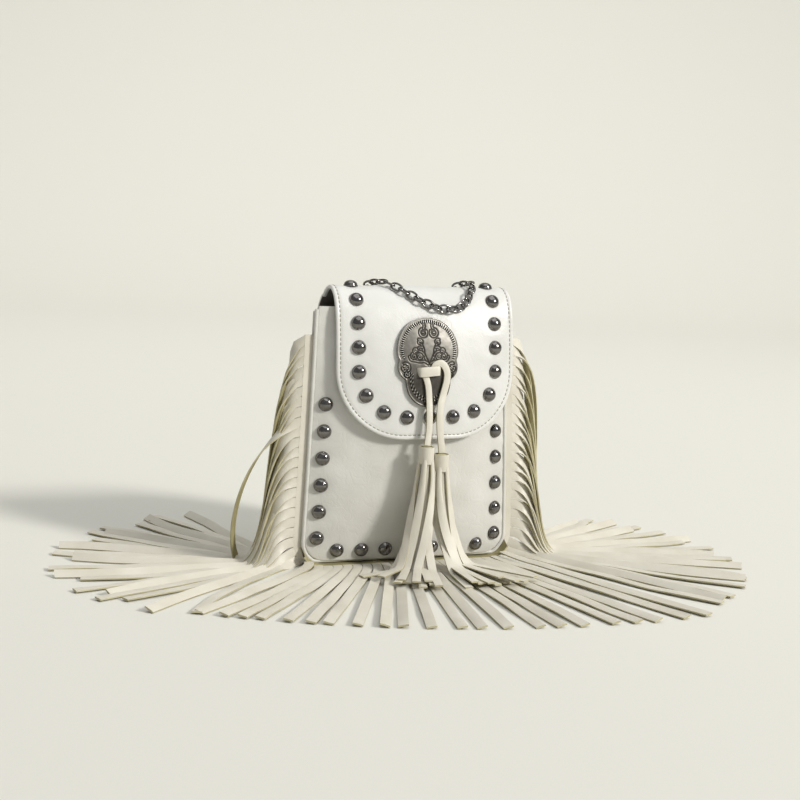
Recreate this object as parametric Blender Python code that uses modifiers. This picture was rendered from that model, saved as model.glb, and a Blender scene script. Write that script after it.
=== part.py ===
"""Small crossbody bag: rounded flap, dome rivets, cast plate with tassels, chain strap and seam fringe.

Metres, Z up, front facing -Y. The origin is on the floor under the middle of the bag's base.
Every length below is in millimetres and is scaled once, where a mesh is made.
"""
import math

import bmesh
import bpy
from mathutils import Matrix, Vector

MM = 0.001

# Pouch: half widths of its outline, corner radius, panel thickness and the gap kept at every seam
TOP_HALF = 67.5
BASE_HALF = 73.0
CORNER = 16.0
POUCH_TOP = 164.0
LEATHER = 2.0
SEAM_GAP = 0.35
GUSSET_TOP = 158.0
GUSSET_THICK = 1.8

# Flap: width, how far it sits to the right of the pouch's middle, turned edge and lower corner radius
FLAP_HALF = 62.3
FLAP_SHIFT = 6.8
FLAP_THICK = 2.4
FLAP_CORNER = 45.0
FLAP_DROP = 6.5
HINGE_Y = 6.0
HINGE_Z = 175.9
FLAP_PROFILE = [
    (HINGE_Y, HINGE_Z),
    (0.0, 180.6),
    (-7.0, 182.8),
    (-14.0, 181.8),
    (-21.5, 176.2),
    (-27.8, 164.4),
    (-33.2, 144.5),
    (-36.8, 119.0),
    (-39.3, 96.0),
    (-40.1, 85.4),
]
BACK_PROFILE = [
    (26.0, 0.4),
    (25.4, 30.0),
    (25.0, 80.0),
    (24.6, 130.0),
    (21.5, 154.0),
    (14.0, 168.0),
    (HINGE_Y + 0.3, HINGE_Z - 0.2),
]

# Heights between which the back's left edge draws in to the flap's left edge
LEAN_FROM = 100.0
LEAN_TO = 150.0

# Dome rivets
RIVET_R = 4.7
RIVET_H = 3.6
RIVET_SEAT = 0.3
RIVET_INSET = 14.5
FOLD_RIVET = 17.0
BODY_RIVET_INSET = 9.8
BODY_RIVET_PITCH = 17.6
BODY_RIVET_TOP = 106.8
BODY_RIVET_LOW = 17.0
BASE_RIVET_PITCH = 16.5
BASE_RIVET_Z = 10.4

# Fringe: strip width, gap between cuts, thickness, uncut header, and how the fan lies on the floor
STRIP = 6.2
STRIP_GAP = 0.4
STRIP_THICK = 1.2
HEADER = 7.0
FLOOR_GAP = 0.1
SIDE_TOP = 151.0
SIDE_STRIPS = 23
BASE_STRIPS = 18

# Floor directions of the fringe, first and last strip, in degrees from straight ahead, and the reach
# of its strips from the seam in plan: a length and how it changes with the strip's height
FAN_LEFT = (-167.0, -44.0)
FAN_RIGHT = (132.0, 22.0)
FAN_BASE = (-42.0, 17.0)
REACH_LEFT = (135.0, 0.22)
REACH_RIGHT = (172.0, -0.28)
REACH_BASE = (155.0, 20.0)

# Fall of a side strip: how stiffly it stands out, where it turns down, and where it lands
STAND_OUT = 20.0
FALL_OUT = 8.0
FALL_BACK = 8.0
LAND_NEAR = 25.0
LAND_RISE = 0.09
STRIP_ROLL = 32.0

# Cast plate, lace and tassels
PLATE_X = -2.2
PLATE_Z = 143.0
PLATE_GAP = 0.45
PLATE_THICK = 2.2
LACE_THICK = 1.3
WRAP_R = 4.9
WRAP_H = 11.0
TASSEL_Y = -47.5
TASSEL_LEFT = (1.8, 82.0)
TASSEL_RIGHT = (12.2, 77.0)

# Chain: link pitch, outer length, width and wire
PITCH = 7.6
LINK_LENGTH = 10.0
LINK_WIDTH = 6.0
WIRE = 1.4
CHAIN_OFF = 2.6
CHAIN_LEFT_X = -(FLAP_HALF - 30.3)
CHAIN_RIGHT_X = FLAP_HALF - 32.8
CHAIN_LOW_Z = 168.5
RING_INSET = 8.5
RING_Z = 150.0
TAB_THICK = 1.6

PIPE_R = 1.3


def smoothstep(t):
    """Ease from 0 to 1."""
    t = max(0.0, min(1.0, t))
    return t * t * (3.0 - 2.0 * t)


def through(points, t):
    """Return the smooth value at t of the curve through (t, value) pairs in rising order."""
    if t <= points[0][0]:
        return points[0][1]
    if t >= points[-1][0]:
        return points[-1][1]
    i = 0
    while points[i + 1][0] < t:
        i += 1
    slopes = []
    for k in (i, i + 1):
        a = points[max(0, k - 1)]
        b = points[min(len(points) - 1, k + 1)]
        slopes.append((b[1] - a[1]) / (b[0] - a[0]))
    x0, y0 = points[i]
    x1, y1 = points[i + 1]
    h = x1 - x0
    u = (t - x0) / h
    a = (2 * u**3 - 3 * u**2 + 1) * y0 + (u**3 - 2 * u**2 + u) * h * slopes[0]
    return a + (-2 * u**3 + 3 * u**2) * y1 + (u**3 - u**2) * h * slopes[1]


def smooth_line(points, steps):
    """Return a dense line through 2-D or 3-D points, by a Catmull-Rom curve."""
    pts = [Vector(p) for p in points]
    line = []
    for i in range(len(pts) - 1):
        p0 = pts[i - 1] if i else pts[0] * 2 - pts[1]
        p1 = pts[i]
        p2 = pts[i + 1]
        p3 = pts[i + 2] if i + 2 < len(pts) else pts[-1] * 2 - pts[-2]
        for k in range(steps):
            u = k / steps
            line.append(
                0.5
                * (
                    2 * p1
                    + (p2 - p0) * u
                    + (2 * p0 - 5 * p1 + 4 * p2 - p3) * u * u
                    + (3 * p1 - p0 - 3 * p2 + p3) * u**3
                )
            )
    line.append(pts[-1])
    return line


def line_lengths(line):
    """Return the running length at each point of a line."""
    total = [0.0]
    for a, b in zip(line, line[1:]):
        total.append(total[-1] + (b - a).length)
    return total


def at_length(line, total, s):
    """Return the point of a line at running length s, held to its ends."""
    s = max(0.0, min(total[-1], s))
    i = 0
    while i < len(total) - 2 and total[i + 1] < s:
        i += 1
    u = (s - total[i]) / max(1e-9, total[i + 1] - total[i])
    return line[i].lerp(line[i + 1], u)


# The pouch's outline and faces


def half_width(z):
    """Half width of the pouch at height z, with its rounded lower corners."""
    side = BASE_HALF + (TOP_HALF - BASE_HALF) * (max(z, CORNER) - CORNER) / (POUCH_TOP - CORNER)
    if z >= CORNER:
        return side
    return side - CORNER + math.sqrt(max(0.0, CORNER**2 - (CORNER - z) ** 2))


def edge_y(z):
    """Where the front panel's outer face meets the seam."""
    return through([(0, -21.5), (60, -21.5), (120, -20.0), (POUCH_TOP, -18.0)], z)


def bulge(z):
    """How far the middle of the front panel stands before its seams."""
    return through([(0, 2.0), (16, 7.0), (45, 11.5), (80, 12.0), (115, 10.5), (145, 6.5), (166, 3.0)], z)


def front_point(x, z, off=0.0):
    """Return a point on the front panel's outer face and the face's outward direction."""
    half = half_width(max(z, 5.0)) - 3.0
    u = max(-1.0, min(1.0, x / half))
    y = edge_y(z) - bulge(z) * (1.0 - abs(u) ** 2.4)
    slope_x = bulge(z) * 2.4 * abs(u) ** 1.4 / half * (1 if u > 0 else -1)
    dz = 0.5
    y1 = edge_y(z + dz) - bulge(z + dz) * (1.0 - abs(u) ** 2.4)
    slope_z = (y1 - y) / dz
    out = Vector((slope_x, -1.0, slope_z)).normalized()
    return Vector((x, y, z)) + out * off, out


FLAP_LINE = smooth_line(FLAP_PROFILE, 12)
FLAP_TOTAL = line_lengths(FLAP_LINE)
FLAP_LENGTH = FLAP_TOTAL[-1]


def flap_drop(x, s):
    """How far the flap's outer face falls back from its middle."""
    grow = smoothstep((s - 12.0) / 70.0)
    return FLAP_DROP * grow * abs(x / FLAP_HALF) ** 2.2


def flap_point(x, s, off=0.0):
    """Return a point on the flap's outer face, s along it from the hinge, and its outward direction."""
    p = at_length(FLAP_LINE, FLAP_TOTAL, s)
    a = at_length(FLAP_LINE, FLAP_TOTAL, s - 1.5)
    b = at_length(FLAP_LINE, FLAP_TOTAL, s + 1.5)
    t = (b - a).normalized()
    out = Vector((0.0, t.y, -t.x))
    lean = (flap_drop(x + 0.5, s) - flap_drop(x - 0.5, s)) / 1.0
    face = (out + Vector((lean, 0.0, 0.0))).normalized()
    base = Vector((x + FLAP_SHIFT, p.x, p.y)) - out * flap_drop(x, s)
    return base + face * off, face


def flap_at_height(z):
    """Return the length along the hanging part of the flap at which its middle is at height z."""
    low = FLAP_LENGTH * 0.2
    high = FLAP_LENGTH
    for _ in range(40):
        mid = (low + high) / 2
        if at_length(FLAP_LINE, FLAP_TOTAL, mid).y > z:
            low = mid
        else:
            high = mid
    return (low + high) / 2


def flap_half(s):
    """Half width of the flap at length s, with the large lower corners."""
    d = FLAP_LENGTH - s
    if d >= FLAP_CORNER:
        return FLAP_HALF
    return FLAP_HALF - FLAP_CORNER + math.sqrt(max(0.0, FLAP_CORNER**2 - (FLAP_CORNER - d) ** 2))


# Meshes


def collection(name, hidden=False):
    """Return a new collection linked to the scene."""
    col = bpy.data.collections.new(name)
    bpy.context.scene.collection.children.link(col)
    col.hide_render = hidden
    return col


def material(name, color, rough, metal=0.0):
    """Return a plain Principled material."""
    mat = bpy.data.materials.new(name)
    mat.use_nodes = True
    shader = mat.node_tree.nodes["Principled BSDF"]
    shader.inputs["Base Color"].default_value = (*color, 1.0)
    shader.inputs["Roughness"].default_value = rough
    shader.inputs["Metallic"].default_value = metal
    return mat


def make(name, col, mat, verts, faces):
    """Make one named object from millimetre points and faces."""
    mesh = bpy.data.meshes.new(name)
    mesh.from_pydata([Vector(v) * MM for v in verts], [], faces)
    mesh.validate()
    for poly in mesh.polygons:
        poly.use_smooth = True
    mesh.materials.append(mat)
    obj = bpy.data.objects.new(name, mesh)
    col.objects.link(obj)
    return obj


def face_out(obj):
    """Turn a closed mesh's faces outward."""
    bm = bmesh.new()
    bm.from_mesh(obj.data)
    bmesh.ops.recalc_face_normals(bm, faces=bm.faces)
    bm.to_mesh(obj.data)
    bm.free()


def solidify(obj, thick, offset=-1.0):
    """Give a sheet its leather thickness."""
    mod = obj.modifiers.new("leather thickness", "SOLIDIFY")
    mod.thickness = thick * MM
    mod.offset = offset
    mod.use_even_offset = False
    return mod


def sheet(name, col, mat, rows, thick, offset=-1.0, flip=False):
    """Make a sheet from equal rows of points and thicken it."""
    count = len(rows[0])
    verts = [p for row in rows for p in row]
    faces = []
    for r in range(len(rows) - 1):
        for c in range(count - 1):
            a = r * count + c
            quad = (a, a + 1, a + 1 + count, a + count)
            faces.append(tuple(reversed(quad)) if flip else quad)
    obj = make(name, col, mat, verts, faces)
    solidify(obj, thick, offset)
    return obj


def tube_mesh(line, radii, sides, up=None, flat=1.0):
    """Return points and faces of a capped tube along a line, with a radius at each point."""
    verts = []
    faces = []
    n = len(line)
    side = None
    for i, p in enumerate(line):
        a = line[max(0, i - 1)]
        b = line[min(n - 1, i + 1)]
        t = (b - a).normalized()
        if side is None:
            ref = up if up else Vector((0.0, 0.0, 1.0))
            if abs(ref.dot(t)) > 0.95:
                ref = Vector((0.0, 1.0, 0.0))
            side = t.cross(ref).normalized()
        side = (side - t * side.dot(t)).normalized()
        other = t.cross(side)
        for k in range(sides):
            w = 2 * math.pi * k / sides
            verts.append(p + (side * math.cos(w) + other * math.sin(w) * flat) * radii[i])
    for i in range(n - 1):
        for k in range(sides):
            k2 = (k + 1) % sides
            faces.append((i * sides + k, i * sides + k2, (i + 1) * sides + k2, (i + 1) * sides + k))
    faces.append(tuple(reversed(range(sides))))
    faces.append(tuple((n - 1) * sides + k for k in range(sides)))
    return verts, faces


def lathe(name, col, mat, profile, sides, origin, out):
    """Turn a profile of (radius, height) pairs about a direction; a zero radius closes it."""
    turn = Vector((0, 0, 1)).rotation_difference(out).to_matrix()
    verts = []
    rings = []
    for r, h in profile:
        if r < 1e-6:
            rings.append([len(verts)])
            verts.append(origin + turn @ Vector((0, 0, h)))
            continue
        rings.append(list(range(len(verts), len(verts) + sides)))
        for k in range(sides):
            w = 2 * math.pi * k / sides
            verts.append(origin + turn @ Vector((r * math.cos(w), r * math.sin(w), h)))
    faces = []
    for a, b in zip(rings, rings[1:]):
        for k in range(sides):
            k2 = (k + 1) % sides
            if len(b) == 1:
                faces.append((a[k], a[k2], b[0]))
            elif len(a) == 1:
                faces.append((a[0], b[k2], b[k]))
            else:
                faces.append((a[k], a[k2], b[k2], b[k]))
    if len(rings[0]) > 1:
        faces.append(tuple(reversed(rings[0])))
    if len(rings[-1]) > 1:
        faces.append(tuple(rings[-1]))
    obj = make(name, col, mat, verts, faces)
    face_out(obj)
    return obj


# The pouch


def outline_rows():
    """Heights of the pouch's rows, close together round the lower corners."""
    rows = [CORNER * (1.0 - math.cos(math.radians(a))) for a in (0, 18, 36, 54, 72, 90)]
    return rows + [34.0, 55.0, 78.0, 100.0, 122.0, 143.0, POUCH_TOP]


def build_front_panel(col, mat):
    """Front panel: pillowed, its edges inside the welt."""
    low = 4.7
    rows = []
    for k, h in enumerate(outline_rows()):
        z = low + h * (POUCH_TOP - low) / POUCH_TOP
        shrink = CORNER - 3.0
        if h < CORNER:
            angle = math.acos(1.0 - h / CORNER)
            z = low + shrink * (1.0 - math.cos(angle))
            half = BASE_HALF - 3.0 - shrink + shrink * math.sin(angle)
        else:
            half = half_width(z) - 3.0
        row = []
        for c in range(13):
            u = -1.0 + 2.0 * c / 12
            u = math.sin(u * math.pi / 2) * 0.35 + u * 0.65
            y = edge_y(z) - bulge(z) * (1.0 - abs(u) ** 2.4)
            row.append((u * half, y, z))
        rows.append(row)
    return sheet("front_panel", col, mat, rows, LEATHER)


def lean(z):
    """How far the back's left edge draws in at height z, to end under the flap's left edge."""
    whole = half_width(z) - 0.5 - (FLAP_HALF - FLAP_SHIFT)
    return whole * smoothstep((z - LEAN_FROM) / (LEAN_TO - LEAN_FROM))


def build_back_panel(col, mat):
    """Back panel, running up and forward to the fold."""
    line = smooth_line(BACK_PROFILE, 10)
    total = line_lengths(line)
    rows = []
    stops = [CORNER * (1.0 - math.cos(math.radians(a))) for a in (0, 22, 45, 68, 90)]
    stops += [45.0, 85.0, 120.0, 138.0, 150.0, 159.0, 168.0, 176.0, total[-1]]
    for s in stops:
        p = at_length(line, total, s)
        half = half_width(p.y - 0.4) - 0.5
        left = -half + lean(p.y)
        right = half + (FLAP_HALF + FLAP_SHIFT - half) * smoothstep((s - 138.0) / (total[-1] - 138.0))
        row = []
        for c in range(9):
            u = -1.0 + 2.0 * c / 8
            soft = 1.5 * abs(u) ** 3 * smoothstep((total[-1] - s) / 30.0)
            row.append(((left + right) / 2 + u * (right - left) / 2, p.x - soft, p.y))
        rows.append(row)
    return sheet("back_panel", col, mat, rows, LEATHER, flip=True)


def seam_path(inset, top, steps=6, side_steps=6):
    """Return (x, z, outward) along the pouch's outline, left top to right top."""
    base = inset
    pts = []
    r = CORNER - inset
    for k in range(side_steps):
        z = top + (CORNER - top) * k / side_steps
        pts.append((-(half_width(z) - inset), z, Vector((-1, 0, 0))))
    for k in range(steps + 1):
        w = math.pi / 2 * k / steps
        d = Vector((-math.cos(w), 0, -math.sin(w)))
        pts.append((-(BASE_HALF - CORNER) + d.x * r, CORNER + d.z * r, d))
    half = len(pts)
    for x in (-34.0, 0.0, 34.0):
        pts.append((x, base, Vector((0, 0, -1))))
    for x, z, d in reversed(pts[:half]):
        pts.append((-x, z, Vector((-d.x, 0, d.z))))
    return pts


def back_y(z):
    """Outer face of the back panel at height z."""
    return through([(0, 26.0), (30, 25.4), (80, 25.0), (130, 24.6), (154, 21.5), (166, 16.5)], z)


def build_gusset(col, mat):
    """Gusset strip round the sides and base; its underside is what the bag stands on."""
    rows = []
    for x, z, d in seam_path(0.0, GUSSET_TOP):
        front = edge_y(z) + 3.0 + STRIP_THICK / 2 + SEAM_GAP
        back = back_y(z) - LEATHER - SEAM_GAP - 1.8 - 3.0 * smoothstep((z - 122.0) / 26.0)
        row = []
        for c in range(5):
            u = c / 4
            dip = 3.0 * math.sin(math.pi * u) * smoothstep((z - 20) / 60.0)
            draw = lean(z) * u**3 if x < 0 else 0.0
            row.append((x - d.x * dip + draw, front + (back - front) * u, z))
        rows.append(row)
    return sheet("gusset", col, mat, rows, GUSSET_THICK, flip=False)


def build_piping(col, mat):
    """Welt tube in the front seam."""
    line = []
    for x, z, d in seam_path(1.45, POUCH_TOP - 4.0, steps=5, side_steps=7):
        lift = max(0.0, 3.05 - 1.45 - max(0.0, z - 1.45)) if z < 3.1 else 0.0
        line.append(Vector((x, edge_y(z) + 0.8, z + lift)))
    verts, faces = tube_mesh(line, [PIPE_R] * len(line), 6, up=Vector((0, 1, 0)))
    obj = make("front_piping", col, mat, verts, faces)
    face_out(obj)
    return obj


def build_flap(col, mat):
    """Flap over the mouth, one sheet from the hinge to the hem."""
    stops = [0.0, 5.0, 10.0, 15.0, 20.0, 26.0, 33.0, 42.0, 55.0, 70.0]
    last = FLAP_LENGTH - FLAP_CORNER
    stops = [s for s in stops if s < last - 6.0]
    for a in (90, 75, 60, 46, 34, 23, 13, 5, 0):
        stops.append(FLAP_LENGTH - FLAP_CORNER * (1.0 - math.cos(math.radians(a))))
    rows = []
    for s in stops:
        half = flap_half(s)
        rows.append([flap_point(half * (-1.0 + 2.0 * c / 12), s)[0] for c in range(13)])
    return sheet("flap", col, mat, rows, FLAP_THICK, flip=True)


# Rivets


def dome(name, col, mat, point, out):
    """Domed rivet head seated on the leather."""
    profile = [(RIVET_R, 0.0), (RIVET_R * 0.82, RIVET_H * 0.58), (RIVET_R * 0.45, RIVET_H * 0.9), (0.0, RIVET_H)]
    return lathe(name, col, mat, profile, 10, point + out * RIVET_SEAT, out)


def flap_rivet_places():
    """Return (x, s) of the rivets that run round the flap's edge, left fold to right fold."""
    inset = FLAP_HALF - RIVET_INSET
    r = FLAP_CORNER - RIVET_INSET
    start = FOLD_RIVET
    straight = FLAP_LENGTH - FLAP_CORNER - start
    flat = 2 * (FLAP_HALF - FLAP_CORNER)
    arc = math.pi / 2 * r
    whole = 2 * straight + 2 * arc + flat
    count = 17
    places = []
    for k in range(count):
        d = whole * k / (count - 1)
        mirror = 1.0
        if d > whole / 2:
            d = whole - d
            mirror = -1.0
        if d <= straight:
            x, s = -inset, start + d
        elif d <= straight + arc:
            w = (d - straight) / r
            x = -(FLAP_HALF - FLAP_CORNER) - r * math.cos(w)
            s = FLAP_LENGTH - FLAP_CORNER + r * math.sin(w)
        else:
            x = -(FLAP_HALF - FLAP_CORNER) + (d - straight - arc)
            s = FLAP_LENGTH - RIVET_INSET
        places.append((x * mirror, s))
    return places


def build_rivets(col, mat):
    """All dome rivets: the flap's row and the pouch's row."""
    for k, (x, s) in enumerate(flap_rivet_places()):
        p, out = flap_point(x, s)
        dome(f"flap_rivet_{k + 1:02d}", col, mat, p, out)
    places = []
    for k in range(6):
        z = BODY_RIVET_TOP - BODY_RIVET_PITCH * k
        places.append((BODY_RIVET_INSET - half_width(z), z))
    for k in range(7):
        places.append((BASE_RIVET_PITCH * (k - 3), BASE_RIVET_Z))
    for k in range(6):
        z = BODY_RIVET_LOW + BODY_RIVET_PITCH * k
        places.append((half_width(z) - BODY_RIVET_INSET, z))
    for k, (x, z) in enumerate(places):
        p, out = front_point(x, z)
        dome(f"body_rivet_{k + 1:02d}", col, mat, p, out)


# Fringe


def ribbon(path, widths, wide):
    """Return pairs of edge points of a ribbon along a path, given the width direction at each point."""
    return [(p - w * (wide / 2), p + w * (wide / 2)) for p, w in zip(path, widths)]


def comb(name, col, mat, head, ribbons, thick):
    """Join a header line and ribbons into one sheet and thicken it."""
    verts = list(head)
    faces = []
    firsts = []
    for rows in ribbons:
        firsts.append(len(verts))
        for a, b in rows:
            verts.extend((a, b))
        for k in range(len(rows) - 1):
            i = firsts[-1] + 2 * k
            faces.append((i, i + 1, i + 3, i + 2))
    roots = [v for first in firsts for v in (first, first + 1)]
    for k in range(len(roots) - 1):
        faces.append((k, k + 1, roots[k + 1], roots[k]))
    obj = make(name, col, mat, verts, faces)
    solidify(obj, thick, offset=0.0)
    return obj


def bezier(p0, p1, p2, p3, t):
    """Return the point of a cubic curve."""
    u = 1.0 - t
    return p0 * u**3 + p1 * (3 * u * u * t) + p2 * (3 * u * t * t) + p3 * t**3


def resample(line, count):
    """Return count + 1 points evenly along a line."""
    total = line_lengths(line)
    return [at_length(line, total, total[-1] * k / count) for k in range(count + 1)]


def wander(seed, amount):
    """Return a small repeatable number for a seed."""
    return amount * math.sin(seed * 12.9898 + 4.1)


def floor_dir(degrees):
    """Direction on the floor, in degrees from straight ahead, positive to the right."""
    a = math.radians(degrees)
    return Vector((math.sin(a), -math.cos(a), 0.0))


def side_roots(sign):
    """Return (point, outward, down the seam) at every cut of a side fringe, top to corner."""
    count = 2 * SIDE_STRIPS
    roots = []
    s = 0.0
    straight = SIDE_TOP - CORNER
    for k in range(count):
        s = (k // 2) * (STRIP + STRIP_GAP) + (k % 2) * STRIP
        if s <= straight:
            z = SIDE_TOP - s
            roots.append((Vector((sign * half_width(z), edge_y(z) + 3.0, z)), Vector((sign, 0, 0))))
        else:
            w = (s - straight) / (CORNER + HEADER)
            d = Vector((sign * math.cos(w), 0, -math.sin(w)))
            c = Vector((sign * (BASE_HALF - CORNER), edge_y(CORNER) + 3.0, CORNER))
            roots.append((c + d * CORNER, d))
    return roots


def side_fan(sign):
    """Return the floor direction, landing distance and whole reach of each side strip."""
    first, last = FAN_LEFT if sign < 0 else FAN_RIGHT
    near, rise = REACH_LEFT if sign < 0 else REACH_RIGHT
    heights = [max(SIDE_TOP - k * (STRIP + STRIP_GAP), 8.0) for k in range(SIDE_STRIPS)]
    lands = [LAND_NEAR + LAND_RISE * z for z in heights]
    steps = [2.0 / (a + b) for a, b in zip(lands, lands[1:])]
    whole = sum(steps)
    angle = first
    fan = []
    for k in range(SIDE_STRIPS):
        fan.append((angle, lands[k], near + rise * heights[k]))
        if k < SIDE_STRIPS - 1:
            angle += (last - first) * steps[k] / whole
    return fan


def side_strip(k, sign, start, out, fan):
    """Return one side strip's path, the running length where it lands and its floor direction."""
    angle, land, reach = fan
    floor = FLOOR_GAP + STRIP_THICK / 2
    d = floor_dir(angle + wander(k + 3 * sign, 1.2))
    level = Vector((out.x, out.y, 0.0)).normalized()
    flat = Vector((start.x, start.y, floor)) + level * FALL_OUT
    rest = flat + d * land
    high = smoothstep((start.z - 110.0) / 40.0) if sign > 0 else 0.0
    stand = (STAND_OUT + 8.0 * high) * min(1.0, start.z / 30.0)
    p1 = start + level * stand + d * 6.0
    if start.z < 14.0:
        p1.z = max(floor, start.z * 0.6)
    p2 = flat + d * FALL_BACK
    curve = [bezier(start, p1, p2, rest, t / 40) for t in range(41)]
    used = line_lengths(curve)[-1]
    away = reach + wander(k * 1.7 + sign, 7.0) - FALL_OUT - land
    turn = Matrix.Rotation(math.radians(wander(k * 2.3 + sign, 9.0)), 3, "Z")
    mid = rest + d * (away * 0.5)
    tip = mid + (turn @ d) * (away * 0.5)
    tail = [rest.lerp(mid, t / 6) for t in range(1, 7)] + [mid.lerp(tip, t / 6) for t in range(1, 7)]
    return curve + tail, used, d


def build_side_fringe(name, sign, col, mat):
    """Side fringe: a header sewn in the seam and strips that arch out, fall and lie on the floor."""
    roots = side_roots(sign)
    fan = side_fan(sign)
    head = [p - d * 1.2 for p, d in roots]
    ribbons = []
    for k in range(SIDE_STRIPS):
        pa, da = roots[2 * k]
        pb, db = roots[2 * k + 1]
        out = (da + db).normalized()
        start = (pa + da * HEADER + pb + db * HEADER) / 2
        seam = (pb - pa).normalized()
        curve, used, d = side_strip(k, sign, start, out, fan[k])
        total = line_lengths(curve)
        falls = 4 + int(start.z / 45.0)
        stops = [used * i / falls for i in range(falls)]
        stops += [used + (total[-1] - used) * i / 3 for i in range(4)]
        path = [at_length(curve, total, s) for s in stops]
        last = len(path) - 1
        end_w = Vector((0, 0, 1)).cross(d)
        if end_w.dot(seam) < -0.9:
            end_w = -end_w
        widths = []
        for i, p in enumerate(path):
            t = (path[min(last, i + 1)] - path[max(0, i - 1)]).normalized()
            w = seam.lerp(end_w, smoothstep(stops[i] / (0.75 * used)))
            w = (w - t * w.dot(t)).normalized() if i else seam
            if i:
                over = max(0.0, stops[i] - used) / (total[-1] - used)
                roll = (STRIP_ROLL - 12.0 * over) * smoothstep(stops[i] / (0.6 * used))
                w = Matrix.Rotation(math.radians(sign * roll), 3, t) @ w
                p.z = max(p.z, FLOOR_GAP + STRIP_THICK / 2 + abs(w.z) * STRIP / 2)
            widths.append(w)
        rows = ribbon(path, widths, STRIP)
        rows[0] = (pa + da * HEADER, pb + db * HEADER)
        ribbons.append(rows)
    return comb(name, col, mat, head, ribbons, STRIP_THICK)


def build_base_fringe(col, mat):
    """Fringe of the base seam, lying forward on the floor."""
    head = []
    ribbons = []
    z = FLOOR_GAP + STRIP_THICK / 2
    whole = BASE_STRIPS * (STRIP + STRIP_GAP) - STRIP_GAP
    y = edge_y(0.0) + 2.0
    for k in range(BASE_STRIPS):
        xa = -whole / 2 + k * (STRIP + STRIP_GAP)
        xb = xa + STRIP
        head.extend((Vector((xa, y, z)), Vector((xb, y, z))))
        u = -1.0 + 2.0 * (k + 0.5) / BASE_STRIPS
        first, last = FAN_BASE
        d = floor_dir((first + last) / 2 + (last - first) / 2 * u + wander(k * 1.3, 1.0))
        start = Vector(((xa + xb) / 2, y - HEADER - 3.0, z))
        reach = REACH_BASE[0] + REACH_BASE[1] * u + wander(k * 2.9, 8.0)
        p1 = start + Vector((0, -1, 0)) * 16.0
        p2 = start + Vector((0, -10, 0)) + d * (reach * 0.42)
        p3 = start + Vector((0, -12, 0)) + d * (reach - 12.0)
        curve = [bezier(start, p1, p2, p3, t / 30) for t in range(31)]
        path = resample(curve, 7)
        widths = []
        for i in range(len(path)):
            t = (path[min(7, i + 1)] - path[max(0, i - 1)]).normalized()
            widths.append(Vector((0, 0, 1)).cross(t))
        rows = ribbon(path, widths, STRIP)
        rows[0] = (Vector((xa, start.y, z)), Vector((xb, start.y, z)))
        ribbons.append(rows)
    return comb("fringe_bottom", col, mat, head, ribbons, STRIP_THICK)


# Cast plate, lace and tassels

PLATE_OUTLINE = [
    (0.0, 20.7),
    (7.6, 19.4),
    (14.4, 15.6),
    (19.2, 9.0),
    (21.2, 1.6),
    (20.9, -3.6),
    (19.9, -6.3),
    (20.6, -9.6),
    (20.2, -13.8),
    (18.0, -17.2),
    (15.6, -19.4),
    (15.0, -23.4),
    (13.2, -28.8),
    (9.0, -33.6),
    (4.0, -36.0),
    (0.0, -36.7),
]


def plate_ring(scale, off):
    """Return the plate's outline, scaled about its middle and laid over the flap."""
    pts = PLATE_OUTLINE + [(-x, z) for x, z in reversed(PLATE_OUTLINE[1:-1])]
    ring = []
    for x, z in pts:
        px = PLATE_X + x * scale
        pz = -6.0 + (z + 6.0) * scale
        s = flap_at_height(PLATE_Z + pz)
        ring.append(flap_point(px, s, off)[0])
    return ring


def build_plate(col, mat):
    """Cast ornamental plate with a raised rim."""
    top = PLATE_GAP + PLATE_THICK
    rings = [
        plate_ring(0.5, PLATE_GAP),
        plate_ring(1.0, PLATE_GAP),
        plate_ring(1.0, top - 0.5),
        plate_ring(0.95, top),
        plate_ring(0.86, top - 0.1),
        plate_ring(0.82, top - 0.8),
        plate_ring(0.45, top + 0.2),
    ]
    n = len(rings[0])
    verts = [p for ring in rings for p in ring]
    faces = []
    for r in range(len(rings) - 1):
        for k in range(n):
            k2 = (k + 1) % n
            faces.append((r * n + k, r * n + k2, (r + 1) * n + k2, (r + 1) * n + k))
    s = flap_at_height(PLATE_Z - 6.0)
    for r, off in ((0, PLATE_GAP), (len(rings) - 1, top + 0.5)):
        hub = len(verts)
        verts.append(flap_point(PLATE_X, s, off)[0])
        for k in range(n):
            faces.append((r * n + k, r * n + (k + 1) % n, hub))
    obj = make("concho", col, mat, verts, faces)
    face_out(obj)
    return obj


def on_flap(x, z, off):
    """Return a point before the flap at height z, also below its hem, x from the pouch's middle."""
    low = FLAP_PROFILE[-1][1] + 0.5
    s = flap_at_height(max(z, low))
    p, out = flap_point(x - FLAP_SHIFT, s, off)
    if z < low:
        p = p + Vector((0, 0, z - low))
    return p


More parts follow.
